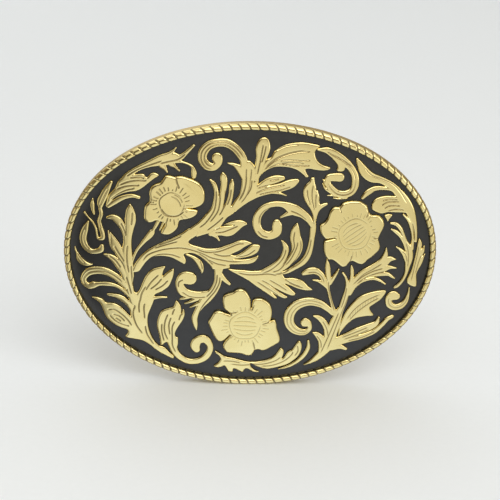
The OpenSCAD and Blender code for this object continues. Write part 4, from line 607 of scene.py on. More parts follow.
@dataclass
class Dome:
    """The face's sphere and the oval's size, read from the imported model.

    The height of a layer at x, z over the dome's top is sqrt((R + layer)^2 - x^2 - z^2) - R.
    """

    radius: float = 180 * MM
    squareness: float = 2.04
    rope_width: float = 1.6 * MM
    top_y: float = field(init=False)
    half: Array = field(init=False)

    def __post_init__(self) -> None:
        """Reads the enamel's highest place and the rope's half axes."""
        self.top_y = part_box("enamel_field")[0].y
        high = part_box("rope_rim")[1]
        self.half = np.array([high.x, high.z])

    def place(self, x: Array, z: Array, layer: Array) -> Array:
        """Lays flat places on the dome.

        Args:
            x: metres to the right.
            z: metres up.
            layer: metres over the enamel's sphere.

        Returns:
            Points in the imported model's frame.
        """
        rise = np.sqrt((self.radius + layer)**2 - x**2 - z**2) - self.radius
        return np.stack(np.broadcast_arrays(x, self.top_y - rise, z), -1)

    def oval(self, angle: Array, inset: float) -> tuple[Array, Array]:
        """The superellipse at an angle: each half axis times its wave to the power 2/squareness."""
        across, up = np.cos(angle), np.sin(angle)
        power = 2 / self.squareness
        return ((self.half[0] - inset) * np.sign(across) * np.abs(across)**power,
                (self.half[1] - inset) * np.sign(up) * np.abs(up)**power)

    def even_angles(self, count: int, inset: float) -> Array:
        """Angles that split the oval into equal lengths, clockwise as seen from the front."""
        angle = np.linspace(0, -TURN, 7200)
        x, z = self.oval(angle, inset)
        length = np.concatenate([[0], np.cumsum(np.hypot(np.diff(x), np.diff(z)))])
        return np.interp(np.arange(count) / count * length[-1], length, angle)


# ---------------------------------------------------------------------------------------------
# Raised ornaments


@dataclass
class Ornament:
    """One raised piece: a flat drawing with a rounded edge, a crown and engraved lines.

    The height at depth d inside the edge is the edge's height plus the rest times
    sqrt(1 - (1 - d / bevel)^2), a quarter round, less a groove exp(-(distance / width)^2) along
    each engraved line and a wider, shallower one along each fold.
    """

    name: str
    over_it: tuple[str, ...] = ()
    veins: int = 0
    lines: tuple[Shape, ...] = ()
    faint: tuple[Shape, ...] = ()
    folds: tuple[Shape, ...] = ()
    beside: tuple[str, ...] = ()
    height: float = 0.6
    bevel: float = 0.4
    edge: float = 0.4
    crown: float = 0.05
    seam: float = 0.015
    groove_depth: float = 0.13
    groove_width: float = 0.13
    fold_depth: float = 0.07
    fold_width: float = 0.55
    foot: float = -0.05
    pitch: float = 0.125
    reach: float = 1.5
    margin: float = 2.5

    def engraved(self) -> list[tuple[Array, float]]:
        """All engraved lines: the drawn ones, and veins that run beside each broad spine.

        Returns:
            Smooth curves of (x, z) points, each with its depth as a share of the full depth.
        """
        curves = [(smooth([p[:2] for p in line], 6, False), 1.0) for line in self.lines]
        curves += [(smooth([p[:2] for p in line], 4, False), 0.55) for line in self.faint]
        for shape in DRAWINGS[self.name]:
            if not self.veins or len(shape[0]) == 2 or max(p[2] for p in shape) < 0.95:
                continue
            spine = smooth(shape, 6, False)
            ahead = np.gradient(spine[:, :2], axis=0)
            across = np.stack([-ahead[:, 1], ahead[:, 0]], 1)
            across /= np.linalg.norm(across, axis=1)[:, None] + 1e-9
            stretch = slice(len(spine) // 8, -len(spine) // 6)
            offsets = {1: (0.0,), 2: (-0.36, 0.36)}[self.veins]
            for share in offsets:
                side = spine[:, :2] + share * spine[:, 2:3] * across
                curves.append((side[stretch], 0.8))
        return curves

    def edge_gap(self, spots: Array) -> Array:
        """Signed distance to the piece's own edge, cut back from the pieces that lie over it.

        Args:
            spots: (n, 2) places in millimetres.

        Returns:
            One distance for each place, negative inside.
        """
        gap = drawing_distance(spots, self.name, self.reach)
        for other in self.over_it:
            gap = np.maximum(gap, self.seam - drawing_distance(spots, other, self.reach))
        return gap

    def relief(self, spots: Array) -> tuple[Array, Array]:
        """Works out the top over a set of flat places.

        The rounded edge follows the outline of this piece and its neighbours together, so that
        stems run on into each other without a step.

        Args:
            spots: (n, 2) places in millimetres.

        Returns:
            The height in millimetres, and how engraved each place is, from 0 to 1.
        """
        joined = (self.name, *self.over_it, *self.beside)
        gap = np.minimum.reduce([drawing_distance(spots, name, self.reach) for name in joined])
        high = self.height * self.round_edge(-gap)
        engraving = np.zeros(len(spots))
        for curve, depth in self.engraved():
            away, along = nearest(spots, curve, 1.0)
            taper = depth * np.clip(4 * np.sin(math.pi * along), 0, 1)
            engraving = np.maximum(engraving, taper * np.exp(-(away / self.groove_width)**2))
        for fold in self.folds:
            away, along = nearest(spots, smooth(fold, 6, False), 3.0)
            taper = self.fold_depth * np.clip(2 * np.sin(math.pi * along), 0, 1)
            high = high - taper * np.exp(-(away / self.fold_width)**2)
        return high - engraving * self.groove_depth, engraving

    def round_edge(self, depth: Array) -> Array:
        """Share of the full height at a depth inside the edge: a quarter round, then a crown."""
        rise = np.sqrt(1 - (1 - np.clip(depth / self.bevel, 0, 1))**2)
        swell = 1 - np.exp(-np.clip(depth, 0, None) / 0.9)
        flat = self.edge + (1 - self.crown - self.edge) * rise
        return flat + self.crown * swell

    def build(self, dome: Dome) -> bpy.types.Object:
        """Cuts a fine lattice along the piece's edge, lays it on the dome and closes it below.

        A lattice cell that the edge crosses becomes a smaller polygon whose new corners lie where
        the signed distance is zero on the cell's sides.

        Args:
            dome: the face.

        Returns:
            The piece.
        """
        outline = np.array([p[:2] for s in DRAWINGS[self.name] for p in s])
        low, high = outline.min(0) - self.margin, outline.max(0) + self.margin
        xs = np.arange(low[0], high[0], self.pitch)
        zs = np.arange(low[1], high[1], self.pitch)
        spots = np.stack(np.meshgrid(xs, zs, indexing="ij"), -1).reshape(-1, 2)
        gap = self.edge_gap(spots)
        gap = np.where(np.abs(gap) < 1e-4, 1e-4, gap).reshape(len(xs), len(zs))
        corners, polygons, rim = cut_lattice(gap, xs, zs)
        high, engraving = self.relief(corners)
        x, z = corners[:, 0] * MM, corners[:, 1] * MM
        top = dome.place(x, z, high * MM)
        foot = dome.place(x, z, np.full(len(x), self.foot * MM))
        count = len(corners)
        walls = np.stack([rim[:, 1], rim[:, 0], rim[:, 0] + count, rim[:, 1] + count], 1)
        below = [block[:, ::-1] + count for block in polygons]
        near_edge = np.zeros(count)
        near_edge[rim.ravel()] = 1
        # The engraving mark also tells the material where to paint shade in the lines.
        marks = {"engraving": np.concatenate([engraving, np.zeros(count)])}
        piece = make_piece(self.name + "_relief", np.concatenate([top, foot]),
                           [*polygons, walls, *below], Slot.ORNAMENT, "buckle", marks,
                           np.concatenate([near_edge, 0 * near_edge]) > 0)
        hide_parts(self.name)
        return piece


# Polygons of a lattice cell for each set of inside corners. Corners 0 to 3 run anticlockwise
# from the lower left, and side 4 + k lies between corner k and the next one.
CELL_POLYGONS: dict[int, list[list[int]]] = {
    1: [[0, 4, 7]], 2: [[1, 5, 4]], 3: [[0, 1, 5, 7]], 4: [[2, 6, 5]], 5: [[0, 4, 7], [2, 6, 5]],
    6: [[1, 2, 6, 4]], 7: [[0, 1, 2, 6, 7]], 8: [[3, 7, 6]], 9: [[0, 4, 6, 3]],
    10: [[1, 5, 4], [3, 7, 6]], 11: [[0, 1, 5, 6, 3]], 12: [[2, 3, 7, 5]],
    13: [[0, 4, 5, 2, 3]], 14: [[1, 2, 3, 7, 4]], 15: [[0, 1, 2, 3]],
}


def cut_lattice(gap: Array, xs: Array, zs: Array) -> tuple[Array, list[Array], Array]:
    """Cuts a lattice along the line where a signed distance is zero.

    Args:
        gap: (n, m) signed distances, negative inside.
        xs: the n columns' places.
        zs: the m rows' places.

    Returns:
        The corners, the polygons by their number of corners, and the rim's edges, each with the
        piece on its left.
    """
    within = gap < 0
    number = np.full(gap.shape, -1)
    number[within] = np.arange(within.sum())
    grid_x, grid_z = np.meshgrid(xs, zs, indexing="ij")
    found = [np.stack([grid_x[within], grid_z[within]], 1)]
    total = len(found[0])
    sides = []
    for axis in (0, 1):
        near = (slice(None, -1), slice(None)) if axis == 0 else (slice(None), slice(None, -1))
        far = (slice(1, None), slice(None)) if axis == 0 else (slice(None), slice(1, None))
        crossed = within[near] != within[far]
        share = gap[near][crossed] / (gap[near][crossed] - gap[far][crossed])
        x = grid_x[near][crossed] + share * (grid_x[far] - grid_x[near])[crossed]
        z = grid_z[near][crossed] + share * (grid_z[far] - grid_z[near])[crossed]
        side = np.full(crossed.shape, -1)
        side[crossed] = total + np.arange(crossed.sum())
        total += len(x)
        found.append(np.stack([x, z], 1))
        sides.append(side)
    flat, upright = sides
    cell = np.stack([number[:-1, :-1], number[1:, :-1], number[1:, 1:], number[:-1, 1:],
                     flat[:, :-1], upright[1:, :], flat[:, 1:], upright[:-1, :]], -1)
    case = (within[:-1, :-1] * 1 + within[1:, :-1] * 2 + within[1:, 1:] * 4
            + within[:-1, 1:] * 8)
    by_size: dict[int, list[Array]] = {3: [], 4: [], 5: []}
    rim = []
    for kind, polygons in CELL_POLYGONS.items():
        rows = cell[case == kind]
        for polygon in polygons:
            by_size[len(polygon)].append(rows[:, polygon])
            for here, ahead in zip(polygon, polygon[1:] + polygon[:1]):
                if here >= 4 and ahead >= 4:
                    rim.append(rows[:, [here, ahead]])
    faces = [np.concatenate(blocks) for blocks in by_size.values() if blocks]
    return np.concatenate(found), faces, np.concatenate(rim)


def flower_ring(centre: Point, ring: float) -> Shape:
    """The soft crease round a flower's middle: a circle that wavers five times."""
    turn = np.linspace(0.4, TURN + 0.3, 26)
    return [(centre[0] + ring * (1 + 0.03 * math.sin(5 * a)) * math.cos(a),
             centre[1] + ring * (1 + 0.03 * math.sin(5 * a)) * math.sin(a)) for a in turn]


def flower_ticks(centre: Point, ring: float, petals: float, count: int, seed: int) -> list[Shape]:
    """Fine lines that radiate from a flower's ring over its petals.

    Args:
        centre: the ring's middle.
        ring: the ring's radius.
        petals: the furthest that a line reaches.
        count: how many lines there are.
        seed: fixes their uneven lengths.

    Returns:
        Lines of (x, z) points.
    """
    draw = np.random.default_rng(seed)
    lines: list[Shape] = []
    for k in range(count):
        angle = TURN * (k + 0.4 * draw.random()) / count
        start = ring + 0.1 + 0.4 * draw.random()
        end = start + 0.5 + (petals - ring) * 0.8 * draw.random()
        lines.append([(centre[0] + r * math.cos(angle), centre[1] + r * math.sin(angle))
                      for r in (start, (start + end) / 2, end)])
    return lines


def seed_arcs(centre: Point, ring: float, count: int, lean: float) -> list[Shape]:
    """A flower's domed middle: long arcs across it, each bowed away from the middle one.

    Args:
        centre: the middle.
        ring: its radius.
        count: how many arcs there are.
        lean: the turn of the whole pattern, in radians.

    Returns:
        Lines of (x, z) points.
    """
    share = np.linspace(-1, 1, 7)
    lines: list[Shape] = []
    for row in np.linspace(-0.7, 0.7, count):
        a = share * 0.84 * ring * math.sqrt(1 - row * row)
        b = ring * row * (1 - 0.3 * share**2)
        x = centre[0] + a * math.cos(lean) - b * math.sin(lean)
        z = centre[1] + a * math.sin(lean) + b * math.cos(lean)
        lines.append(list(zip(x, z)))
    return lines


def ornaments() -> list[Ornament]:
    """The thirty raised pieces, with what lies over each one and the lines cut in it."""
    return [
        Ornament("flower_left", height=1.0, bevel=0.55, lines=(
            [(-19.2, 22.2), (-18.9, 20.8), (-18.3, 19.3)], [(-16.2, 14.3), (-17.2, 14.4)],
            [(-22.9, 14), (-22, 12.8), (-20.4, 12.2), (-18.6, 12.4), (-17, 13.6)],
        ), faint=(
            flower_ring((-20.2, 15.1), 3.1), *flower_ticks((-20.2, 15.1), 3.3, 5.4, 26, 3),
            [(-20.4, 17.4), (-19.2, 16.8), (-18.3, 15.7), (-17.9, 14.6)],
            [(-19.6, 17.9), (-18.3, 17.1), (-17.5, 15.7)],
            [(-25.8, 15.6), (-24.6, 15.4)], [(-21.8, 9.9), (-21.2, 11.2)],
        ), folds=([(-17.6, 21.4), (-15.6, 20.2), (-13.9, 18.2), (-12.9, 16)],)),
        Ornament("flower_right", height=1.0, bevel=0.55, lines=(
            [(18.3, 6.2), (19.8, 6.5), (21.2, 6.7)], [(30.5, 6.4), (31.6, 6.2), (32.4, 6)],
            [(21.7, 14.9), (22.2, 13.5)], [(29.2, 13.2), (28.6, 12)], [(25.1, 0.3), (25.4, 1.9)],
        ), faint=(
            flower_ring((25.9, 7.6), 4.1), *flower_ticks((25.9, 7.6), 4.2, 6.4, 30, 5),
            *seed_arcs((25.9, 7.6), 4, 6, 0.6),
        )),
        Ornament("flower_bottom", height=1.0, bevel=0.55, lines=(
            [(0.4, -10.5), (0.3, -11.8), (0, -13.2)], [(-6.8, -12.9), (-5, -13.9), (-3.2, -13.6)],
            [(-6.9, -23), (-5.8, -21.8), (-4.6, -20.4)], [(5.3, -16.3), (4.3, -16.8), (3.2, -17.2)],
            [(1.6, -25), (1.3, -23.8), (1, -22.5)],
        ), faint=(
            flower_ring((-1.2, -17.6), 4), *flower_ticks((-1.2, -17.6), 4.1, 6.6, 32, 8),
            *seed_arcs((-1.2, -17.6), 3.9, 5, -0.05),
        )),
        Ornament("spray_left", lines=(
            [(-30, 12.3), (-30.1, 10.8), (-30.3, 9)], [(-33, 9.3), (-32.2, 7.8), (-31.7, 6)],
            [(-31.3, 3.4), (-31.5, 1), (-31.4, -1.4), (-31, -4)],
            [(-34.6, 3), (-33.6, 1.2), (-32.2, -1)], [(-30.4, -2), (-30.2, -5), (-29.9, -8)],
            [(-36, 0.2), (-34.4, -1), (-33.1, -2.8)], [(-31.7, -5.2), (-31, -7.6), (-30.4, -10)],
            [(-28.2, -11.5), (-28.5, -13.4), (-28.4, -15.3)],
            [(-27, -12.5), (-27.2, -14), (-27, -17)], [(-28.2, -12), (-27.7, -9.5), (-26.6, -7.5)],
            [(-29.6, -13.5), (-30, -16), (-29.2, -19), (-27.6, -21.6)],
            [(-36.6, -15.2), (-35, -15), (-33, -16.2), (-31.4, -17.8), (-30.4, -19.4)],
            [(-36.2, -16.8), (-34.6, -18.4), (-32.8, -19.2), (-31, -19.6)],
            [(-35.2, -16.4), (-33.6, -16.9), (-32.2, -18.2)], [(-34.6, -17.5), (-33.2, -18.3)],
            [(-26.9, -19), (-26.4, -21.6), (-24.7, -24.6)],
            [(-25.6, -8.3), (-23.8, -6.6), (-22.6, -5)], [(-24.4, -8.4), (-22.4, -7), (-21, -5.4)],
            [(-26.7, -8.6), (-25.3, -6.2), (-23.4, -4)], [(-35, -11.3), (-33, -12), (-31.2, -13.6)],
        )),
        Ornament("curl_left", ("spray_left",), veins=1),
        Ornament("leaf_left_rim", lines=([(-44.1, 0.1), (-43.3, -1.3), (-42.1, -2.5)],)),
        Ornament("curl_upper_left", bevel=0.35, lines=(
            [(-41.8, 6.6), (-42.3, 4.6), (-42, 2.8), (-40.9, 1.5)],
            [(-37.9, 11), (-38.2, 9.2), (-37.9, 7.4)],
        )),
        Ornament("leaf_upper_left", ("curl_upper_left",), bevel=0.38, lines=(
            [(-31.5, 21.5), (-28.8, 23.3), (-25.8, 24.7), (-22.6, 26)],
            [(-23, 25.3), (-21, 25.9), (-18.6, 26.6), (-16.8, 28)],
            [(-35.5, 15.2), (-33.4, 16.9), (-31.5, 18), (-29.4, 18.6)],
            [(-34, 18), (-32, 18.9), (-30, 19.3), (-28.2, 19.4)],
            [(-33.2, 19.2), (-31, 20.2), (-28.6, 20.7), (-26.4, 20.7)],
            [(-30.6, 21.2), (-28.6, 21.5), (-27, 21.2)], [(-38, 13.6), (-37, 16), (-36, 17.8)],
        )),
        Ornament("stem_flower_left", ("spray_left", "flower_left"), bevel=0.3),
        Ornament("branch_main", ("spray_left",), lines=(
            [(-27.6, -0.6), (-26, 1.4), (-23, 2.8), (-20, 3.5), (-17.5, 3.7), (-15, 3.3),
             (-12, 2.3), (-10, 1.4), (-7, 0.8), (-4.6, 0.5), (-1, 0.7)],
            [(-24.6, 3.2), (-21.5, 4.4), (-18.6, 5.4)], [(-23.6, 3.9), (-20.6, 5.3), (-17.6, 6.9)],
            [(-14.2, 3.8), (-11.6, 2.9), (-8.6, 3.1), (-6.2, 4), (-3.4, 5.3), (-1.6, 5.4)],
            [(-10, 2.7), (-8, 2.1), (-6.8, 2), (-5, 2.3), (-3, 3.4), (-1.5, 4.6)],
            [(-11, 0.9), (-8.6, -0.2), (-6.2, -0.6)], [(-3.4, 1.7), (-1, 2.4), (1, 3.9)],
            [(-26, -0.2), (-23.6, 1.5), (-20.4, 1.8), (-17.6, 1)],
            [(-13.4, 2.5), (-11.4, 1.2), (-9.6, -0.6)],
        )),
        Ornament("leaf_branch_upper", ("branch_main",), lines=(
            [(-8.6, 20), (-8.2, 17.5), (-8.4, 15), (-9, 13.2), (-10.8, 10.6)],
            [(-6.9, 19.4), (-6.9, 17), (-7.4, 14.5), (-8.4, 12.6)],
            [(-9.2, 19.4), (-9.2, 16.6), (-9.7, 13.8), (-11.6, 10.8), (-13.4, 9.2)],
            [(-5.5, 19.6), (-5.7, 17.6), (-6.4, 15.4)], [(-7.2, 12.4), (-9, 10.6), (-11.4, 8.6)],
        )),
        Ornament("leaf_branch_small", ("leaf_branch_upper",), lines=(
            [(-9.4, 8.2), (-7.4, 8.4), (-5.4, 9.2), (-3.4, 10.2)],
        )),
        Ornament("curl_center", ("branch_main",), lines=(
            [(-8.6, -3), (-8.8, -5.4), (-9.8, -7.8), (-11.4, -9.8)],
            [(-7.9, -3.6), (-8, -5.4), (-9, -7.8), (-10.6, -10), (-12.2, -12.4), (-13.2, -15)],
            [(-11.2, -9.6), (-13.4, -9.9), (-15.6, -9.6), (-17.6, -8.4)],
            [(-18.4, -7.2), (-18.3, -5.8), (-17.2, -5)], [(-13, 0.6), (-12.5, -0.8), (-12.3, -2)],
        )),
        Ornament("scroll_top", ("leaf_branch_upper",), veins=2, lines=(
            [(-1.8, 23), (-1.9, 21), (-2.4, 19), (-3.4, 17)], [(-0.4, 22), (-0.6, 20), (-1.6, 18)],
        )),
        Ornament("bud_top", ("scroll_top",), lines=(
            [(2.2, 31), (1.9, 29), (1.6, 27), (1.2, 25), (0.9, 23.4)],
            [(2.9, 30.6), (2.5, 28.4), (1.9, 26.4)],
        )),
        Ornament("leaf_top_right", ("scroll_top", "bud_top"), lines=(
            [(3, 25.2), (4.4, 26.6), (6, 27.7), (9, 28.8), (13, 29.5)],
            [(2.5, 24.5), (5, 26.7), (8, 28.2), (11, 28.9), (14, 29.1)],
            [(6.5, 26.8), (9, 27), (12, 26.8), (14, 26.9)], [(7, 26), (10, 25.6), (14, 25.6)],
            [(3.4, 24.8), (6, 26), (9, 26.3), (12.6, 26.1)], [(5.6, 29.4), (8, 30.4), (11, 30.8)],
        )),
        Ornament("hook_top_right", ("leaf_top_right",), veins=1, lines=(
            [(18, 29), (20, 27.8), (22.5, 26.5), (24.5, 25)],
        )),
        Ornament("leaf_small_double", ("scroll_top",), lines=(
            [(1, 19.9), (3.3, 20.6), (5, 20.8), (6.5, 21.1), (7.8, 21.8)],
            [(4, 21.9), (5.2, 22), (6.3, 22.3)], [(1.4, 18.3), (4, 18.9), (7, 19.5), (9.4, 20.4)],
            [(-0.6, 18), (2.2, 19.4), (5, 20.2), (8, 20.8)],
        )),
        Ornament("leaf_vertical", lines=(
            [(14.9, 20.8), (14.6, 18.6), (14.8, 16.4), (15.4, 14)],
            [(13.4, 19.6), (13.6, 17.6), (14.3, 15.6)], [(15.7, 18.4), (15.6, 16.6), (15.7, 14.8)],
        )),
        Ornament("scroll_center_right", ("leaf_vertical",), lines=(
            [(1.3, 8.9), (2.6, 7.6), (4, 7.2)], [(13.6, 11.6), (11.6, 13.2), (9.4, 14.2)],
            [(5, 15.1), (3, 14.2), (1.8, 12.6), (1.6, 10.6)],
        )),
        Ornament("leaf_center_right", ("leaf_vertical", "scroll_center_right"), lines=(
            [(2.6, -4.5), (4.5, -5.6), (6, -7), (8, -8.5)], [(1.3, -4.8), (5.2, -7.5), (7.2, -9)],
            [(11.5, 6), (11.3, 4.5), (10.5, 2.5), (9.6, 0.8), (8.5, -0.5)],
            [(10.7, 9), (10.4, 6.6), (10.6, 4.4), (9.4, 1.8), (7.6, -0.8)],
            [(12.2, 6.4), (12.3, 4), (11.4, 1.6), (9.6, -1)],
            [(8.9, 0.9), (8.1, -0.5), (7, -1.7), (5.3, -2.3)],
            [(6, -2.9), (8, -2.6), (9.5, -1.8)], [(9.5, -5.2), (11.5, -6.2), (13.5, -6.9)],
            [(8.6, 4.2), (8.2, 2.2), (7, 0.2), (5, -1.6), (2.6, -2.8)],
            [(14.9, 7), (14.5, 4.2), (13.6, 1.8), (11.8, -0.2), (9.6, -1.5)],
            [(-3.6, -2.5), (-1, -3), (1.6, -3), (4.4, -2.8), (6.8, -3.3)],
            [(8.4, -4.2), (10.6, -5.6), (12.8, -6.5)], [(4.6, -4.4), (7, -5.9), (9.4, -7.6)],
        )),
        Ornament("spray_right_rim", lines=(
            [(32.3, 14.7), (34, 15.6), (37, 15.5)], [(33, 13.9), (34.6, 14.6), (37.4, 14.4)],
            [(32.4, 16), (34.4, 16.3), (36.6, 16)], [(34, 13.2), (36, 13.6), (38.4, 13.2)],
            [(27.6, 24.6), (29.4, 22.7), (32, 21.6), (35, 20.1), (37.2, 17.8), (39.2, 14.6)],
            [(30, 18.3), (32, 18.6), (34.4, 18.2)], [(40.7, 9.6), (41.3, 7), (41.5, 4.8)],
            [(35, 8.9), (36.3, 8.5), (37.5, 7.5), (38.4, 6)],
            [(39.3, 4.4), (40, 2.2), (40.3, 0), (40.2, -2.6)], [(38.6, 1.9), (39.6, 0.6), (40, -1)],
        )),
        Ornament("leaf_right_rim", lines=(
            [(42.8, 3.4), (42.6, 1), (42.2, -1.6), (41.8, -4.2), (41.4, -6.6)],
            [(43.6, 0.6), (43, -1.6), (42.4, -4.6)],
        )),
        Ornament("bud_right", bevel=0.35),
        Ornament("leaf_lattice", lines=(
            [(25, -16.6), (27, -13.6), (30, -11.2), (33.6, -9.6)],
            [(25.6, -17), (28, -14.2), (31, -11.9), (33.4, -10.6)],
        ), faint=lattice_lines((25.8, -15.9), (33, -10.1), 0.9, 11)),
        Ornament("spray_right_lower", ("leaf_lattice",), lines=(
            [(18.7, -26.8), (21, -20), (23, -14)],
            [(20.3, -26), (22.3, -19), (23.8, -14), (25.5, -9)],
            [(26, -6.5), (28.5, -4.3), (31, -3), (34, -2.2)],
            [(26.6, -6), (28.6, -3.8), (31, -2.4), (33.6, -0.8)],
            [(27, -6.4), (29.4, -4.6), (32, -3.6), (34.6, -3.2)],
            [(14.2, -2.6), (16.2, -2.5), (17.8, -3.6), (18.8, -5.6)],
            [(19.8, -5), (20, -7.6), (20.8, -10.8), (21.7, -13.8)],
            [(24.6, -7), (24.2, -10), (23.4, -13.2)], [(24.6, -22.6), (28, -21.4), (31.4, -19.9)],
            [(24, -22), (27.6, -20.6), (31, -19.2)], [(25.6, -23.1), (29.6, -22.2), (33, -20.6)],
            [(17.4, -21), (18.6, -22.8), (18.9, -25)], [(18.8, -16.6), (20, -19), (20.6, -21.8)],
        )),
        Ornament("scroll_bottom_right", ("spray_right_lower",), veins=2),
        Ornament("scroll_right_small", veins=1, bevel=0.38),
        Ornament("scroll_bottom_left", ("spray_left",), lines=(
            [(-19.3, -13.5), (-19.7, -14.4), (-19.9, -15.3)],
            [(-17.7, -15), (-18, -16), (-18.2, -16.8)],
            [(-21, -15), (-21.8, -17.6), (-21.9, -20.4), (-21, -23)],
            [(-20.2, -16), (-20.8, -18.4), (-20.5, -21.4)],
            [(-19.2, -17), (-19.9, -19), (-19.9, -22), (-19.8, -24.6), (-18.9, -26.8)],
            [(-22.6, -18), (-22.6, -20.6), (-22, -23.4)],
        )),
        Ornament("leaf_bottom", lines=(
            [(-5, -29.6), (-2, -30), (1, -29.8), (4, -29.6), (7, -28.6), (8.6, -27.2)],
            [(3, -30.3), (6, -30.1), (9, -28.9), (11, -27), (11.6, -25.6)],
            [(-6.6, -28.8), (-4.4, -28.8), (-2, -29.3)],
            [(12.6, -23.8), (12.8, -25.6), (12, -27.2)],
        )),
    ]


def with_neighbours(pieces: list[Ornament]) -> list[Ornament]:
    """Tells each piece which others lie under it, so that their tops run on into its own."""
    for piece in pieces:
        piece.beside = tuple(other.name for other in pieces if piece.name in other.over_it)
    return pieces


def lattice_lines(low: Point, high: Point, width: float, count: int) -> tuple[Shape, ...]:
    """Short slanted ticks across a leaf's mid rib, longest half way along it.

    Args:
        low: the rib's lower place.
        high: its upper place.
        width: half the length of the longest tick.
        count: how many ticks there are.

    Returns:
        Lines of (x, z) points.
    """
    start, end = np.array(low), np.array(high)
    along = (end - start) / np.linalg.norm(end - start)
    across = np.array([-along[1], along[0]])
    middles = start + (end - start) * ((np.arange(count) + 0.5) / count)[:, None]
    bulge = 0.5 * np.sin(math.pi * (np.arange(count) + 0.5) / count)[:, None]
    arms = (across + 0.9 * along) * width * (0.4 + 1.2 * bulge)
    middles = middles + across * bulge
    return tuple([tuple(a), tuple(b)] for a, b in zip(middles - arms, middles + arms))


# ---------------------------------------------------------------------------------------------
# Plate, enamel and rope


@dataclass
class FacePlates:
    """The base plate and the enamel: profiles carried round the oval.

    A profile is a list of (share of the oval's half axes, layer) pairs, from the face's middle
    round the edge to the middle of the back; each pair becomes one ring of corners.
    """

    dome: Dome
    plate_inset: float = 0.3 * MM
    enamel_low: float = -0.3 * MM
    plate_low: float = -2.3 * MM
    edge_round: float = 0.35 * MM
    columns: int = 288

    def sweep(self, name: str, inset: float, profile: list[tuple[float, float]],
              slot: Slot) -> bpy.types.Object:
        """Carries a profile round the oval and closes it at both poles.

        Args:
            name: the piece's name.
            inset: how far the profile's share of 1 lies inside the rope's outer edge.
            profile: (share, layer) pairs.
            slot: the record slot.

        Returns:
            The piece.
        """
        angle = self.dome.even_angles(self.columns, inset)[::-1]
        x, z = self.dome.oval(angle, inset)
        share = np.array([p[0] for p in profile])[:, None]
        layer = np.array([p[1] for p in profile])[:, None]
        rings = self.dome.place(share * x, share * z, layer * np.ones_like(x)).reshape(-1, 3)
        poles = [self.dome.place(np.zeros(1), np.zeros(1), np.array([profile[k][1]]))[0]
                 for k in (0, -1)]
        points = np.vstack([rings, poles])
        rows, columns = len(profile), self.columns
        quads = grid_faces(rows, columns, False, True)[:, ::-1]
        front = fan_faces(np.arange(columns), rows * columns, True)
        back = fan_faces((rows - 1) * columns + np.arange(columns), rows * columns + 1, False)
        return make_piece(name, points, [quads, front, back], slot, "buckle")

    def build(self) -> None:
        """Makes the enamel, slightly drawn up where it meets the rope, and the rounded plate."""
        meniscus = 0.22 * MM
        top = [(s, 0.0) for s in np.linspace(0.02, 0.94, 40)]
        top += [(s, meniscus * ((s - 0.94) / 0.065)**2) for s in np.linspace(0.955, 1.005, 8)]
        low = self.enamel_low - 0.1 * MM
        below = [(1.005, low), (0.7, low), (0.35, low), (0.02, low)]
        enamel = self.sweep("enamel_pool", self.dome.rope_width, top + below, Slot.ENAMEL)
        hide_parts("enamel_field")
        turn = np.linspace(0, math.pi / 2, 6)
        round_share = self.edge_round / self.dome.half[1]
        upper = [(1 - round_share * (1 - math.sin(a)),
                  self.enamel_low - self.edge_round * (1 - math.cos(a))) for a in turn]
        lower = [(1 - round_share * (1 - math.cos(a)),
                  self.plate_low + self.edge_round * (1 - math.sin(a))) for a in turn]
        face = [(s, self.enamel_low) for s in np.linspace(0.02, 0.98, 12)]
        back = [(s, self.plate_low) for s in np.linspace(0.98, 0.02, 40)]
        plate = self.sweep("plate_shell", self.plate_inset, face + upper + lower + back, Slot.BACK)
        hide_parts("base_plate")


@dataclass
class RopeEdge:
    """The rope: one tube round the oval whose section swells with 113 twisted strands.

    At share s of the way round, clockwise from the front, and angle f round the section, from
    outwards over the front, the phase is TURN * strands * s - f: a full turn of the section
    shifts the strands by one. With w the distance from the nearest groove as a share of half a
    strand, the radius loses notch * (1 - sqrt(1 - (1 - w / soft)^2)) within soft of the groove.
    """

    dome: Dome
    strands: int = 113
    steps: int = 14
    around: int = 28
    half_width: float = 0.8 * MM
    half_height: float = 0.88 * MM
    foot: float = -0.3 * MM
    notch: float = 0.34
    soft: float = 0.5
    squareness: float = 2.15

    def build(self) -> bpy.types.Object:
        """Makes the rope and hides the plain ring.

        Returns:
            The piece.
        """
        count = self.strands * self.steps
        angle = self.dome.even_angles(count, self.half_width)
        x, z = self.dome.oval(angle, self.half_width)
        ahead = np.stack([np.roll(x, -1) - np.roll(x, 1), np.roll(z, -1) - np.roll(z, 1)])
        ahead /= np.hypot(*ahead)
        outward = np.stack([-ahead[1], ahead[0]])
        turn = TURN * np.arange(self.around) / self.around
        s = (np.arange(count) / count)[:, None]
        phase = TURN * self.strands * s - turn[None, :]
        away = 2 * np.abs(np.arcsin(np.sin(phase / 2))) / math.pi
        step = np.clip(away / self.soft, 0, 1)
        size = 1 - self.notch * (1 - np.sqrt(1 - (1 - step)**2))
        power = 2 / self.squareness
        wide = np.sign(np.cos(turn)) * np.abs(np.cos(turn))**power
        tall = np.sign(np.sin(turn)) * np.abs(np.sin(turn))**power
        across = self.half_width * size * wide
        layer = self.foot + self.half_height * (1 + size * tall)
        px = x[:, None] + outward[0][:, None] * across
        pz = z[:, None] + outward[1][:, None] * across
        points = self.dome.place(px, pz, layer).reshape(-1, 3)
        faces = grid_faces(count, self.around, True, True)
        # The groove mark is 1 in the grooves between strands, where the material paints shade.
        piece = make_piece("rope_twist", points, [faces], Slot.ROPE, "buckle",
                           {"groove": 1 - away.ravel()})
        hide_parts("rope_rim")
        return piece


# ---------------------------------------------------------------------------------------------
# Belt bail, lugs and hook


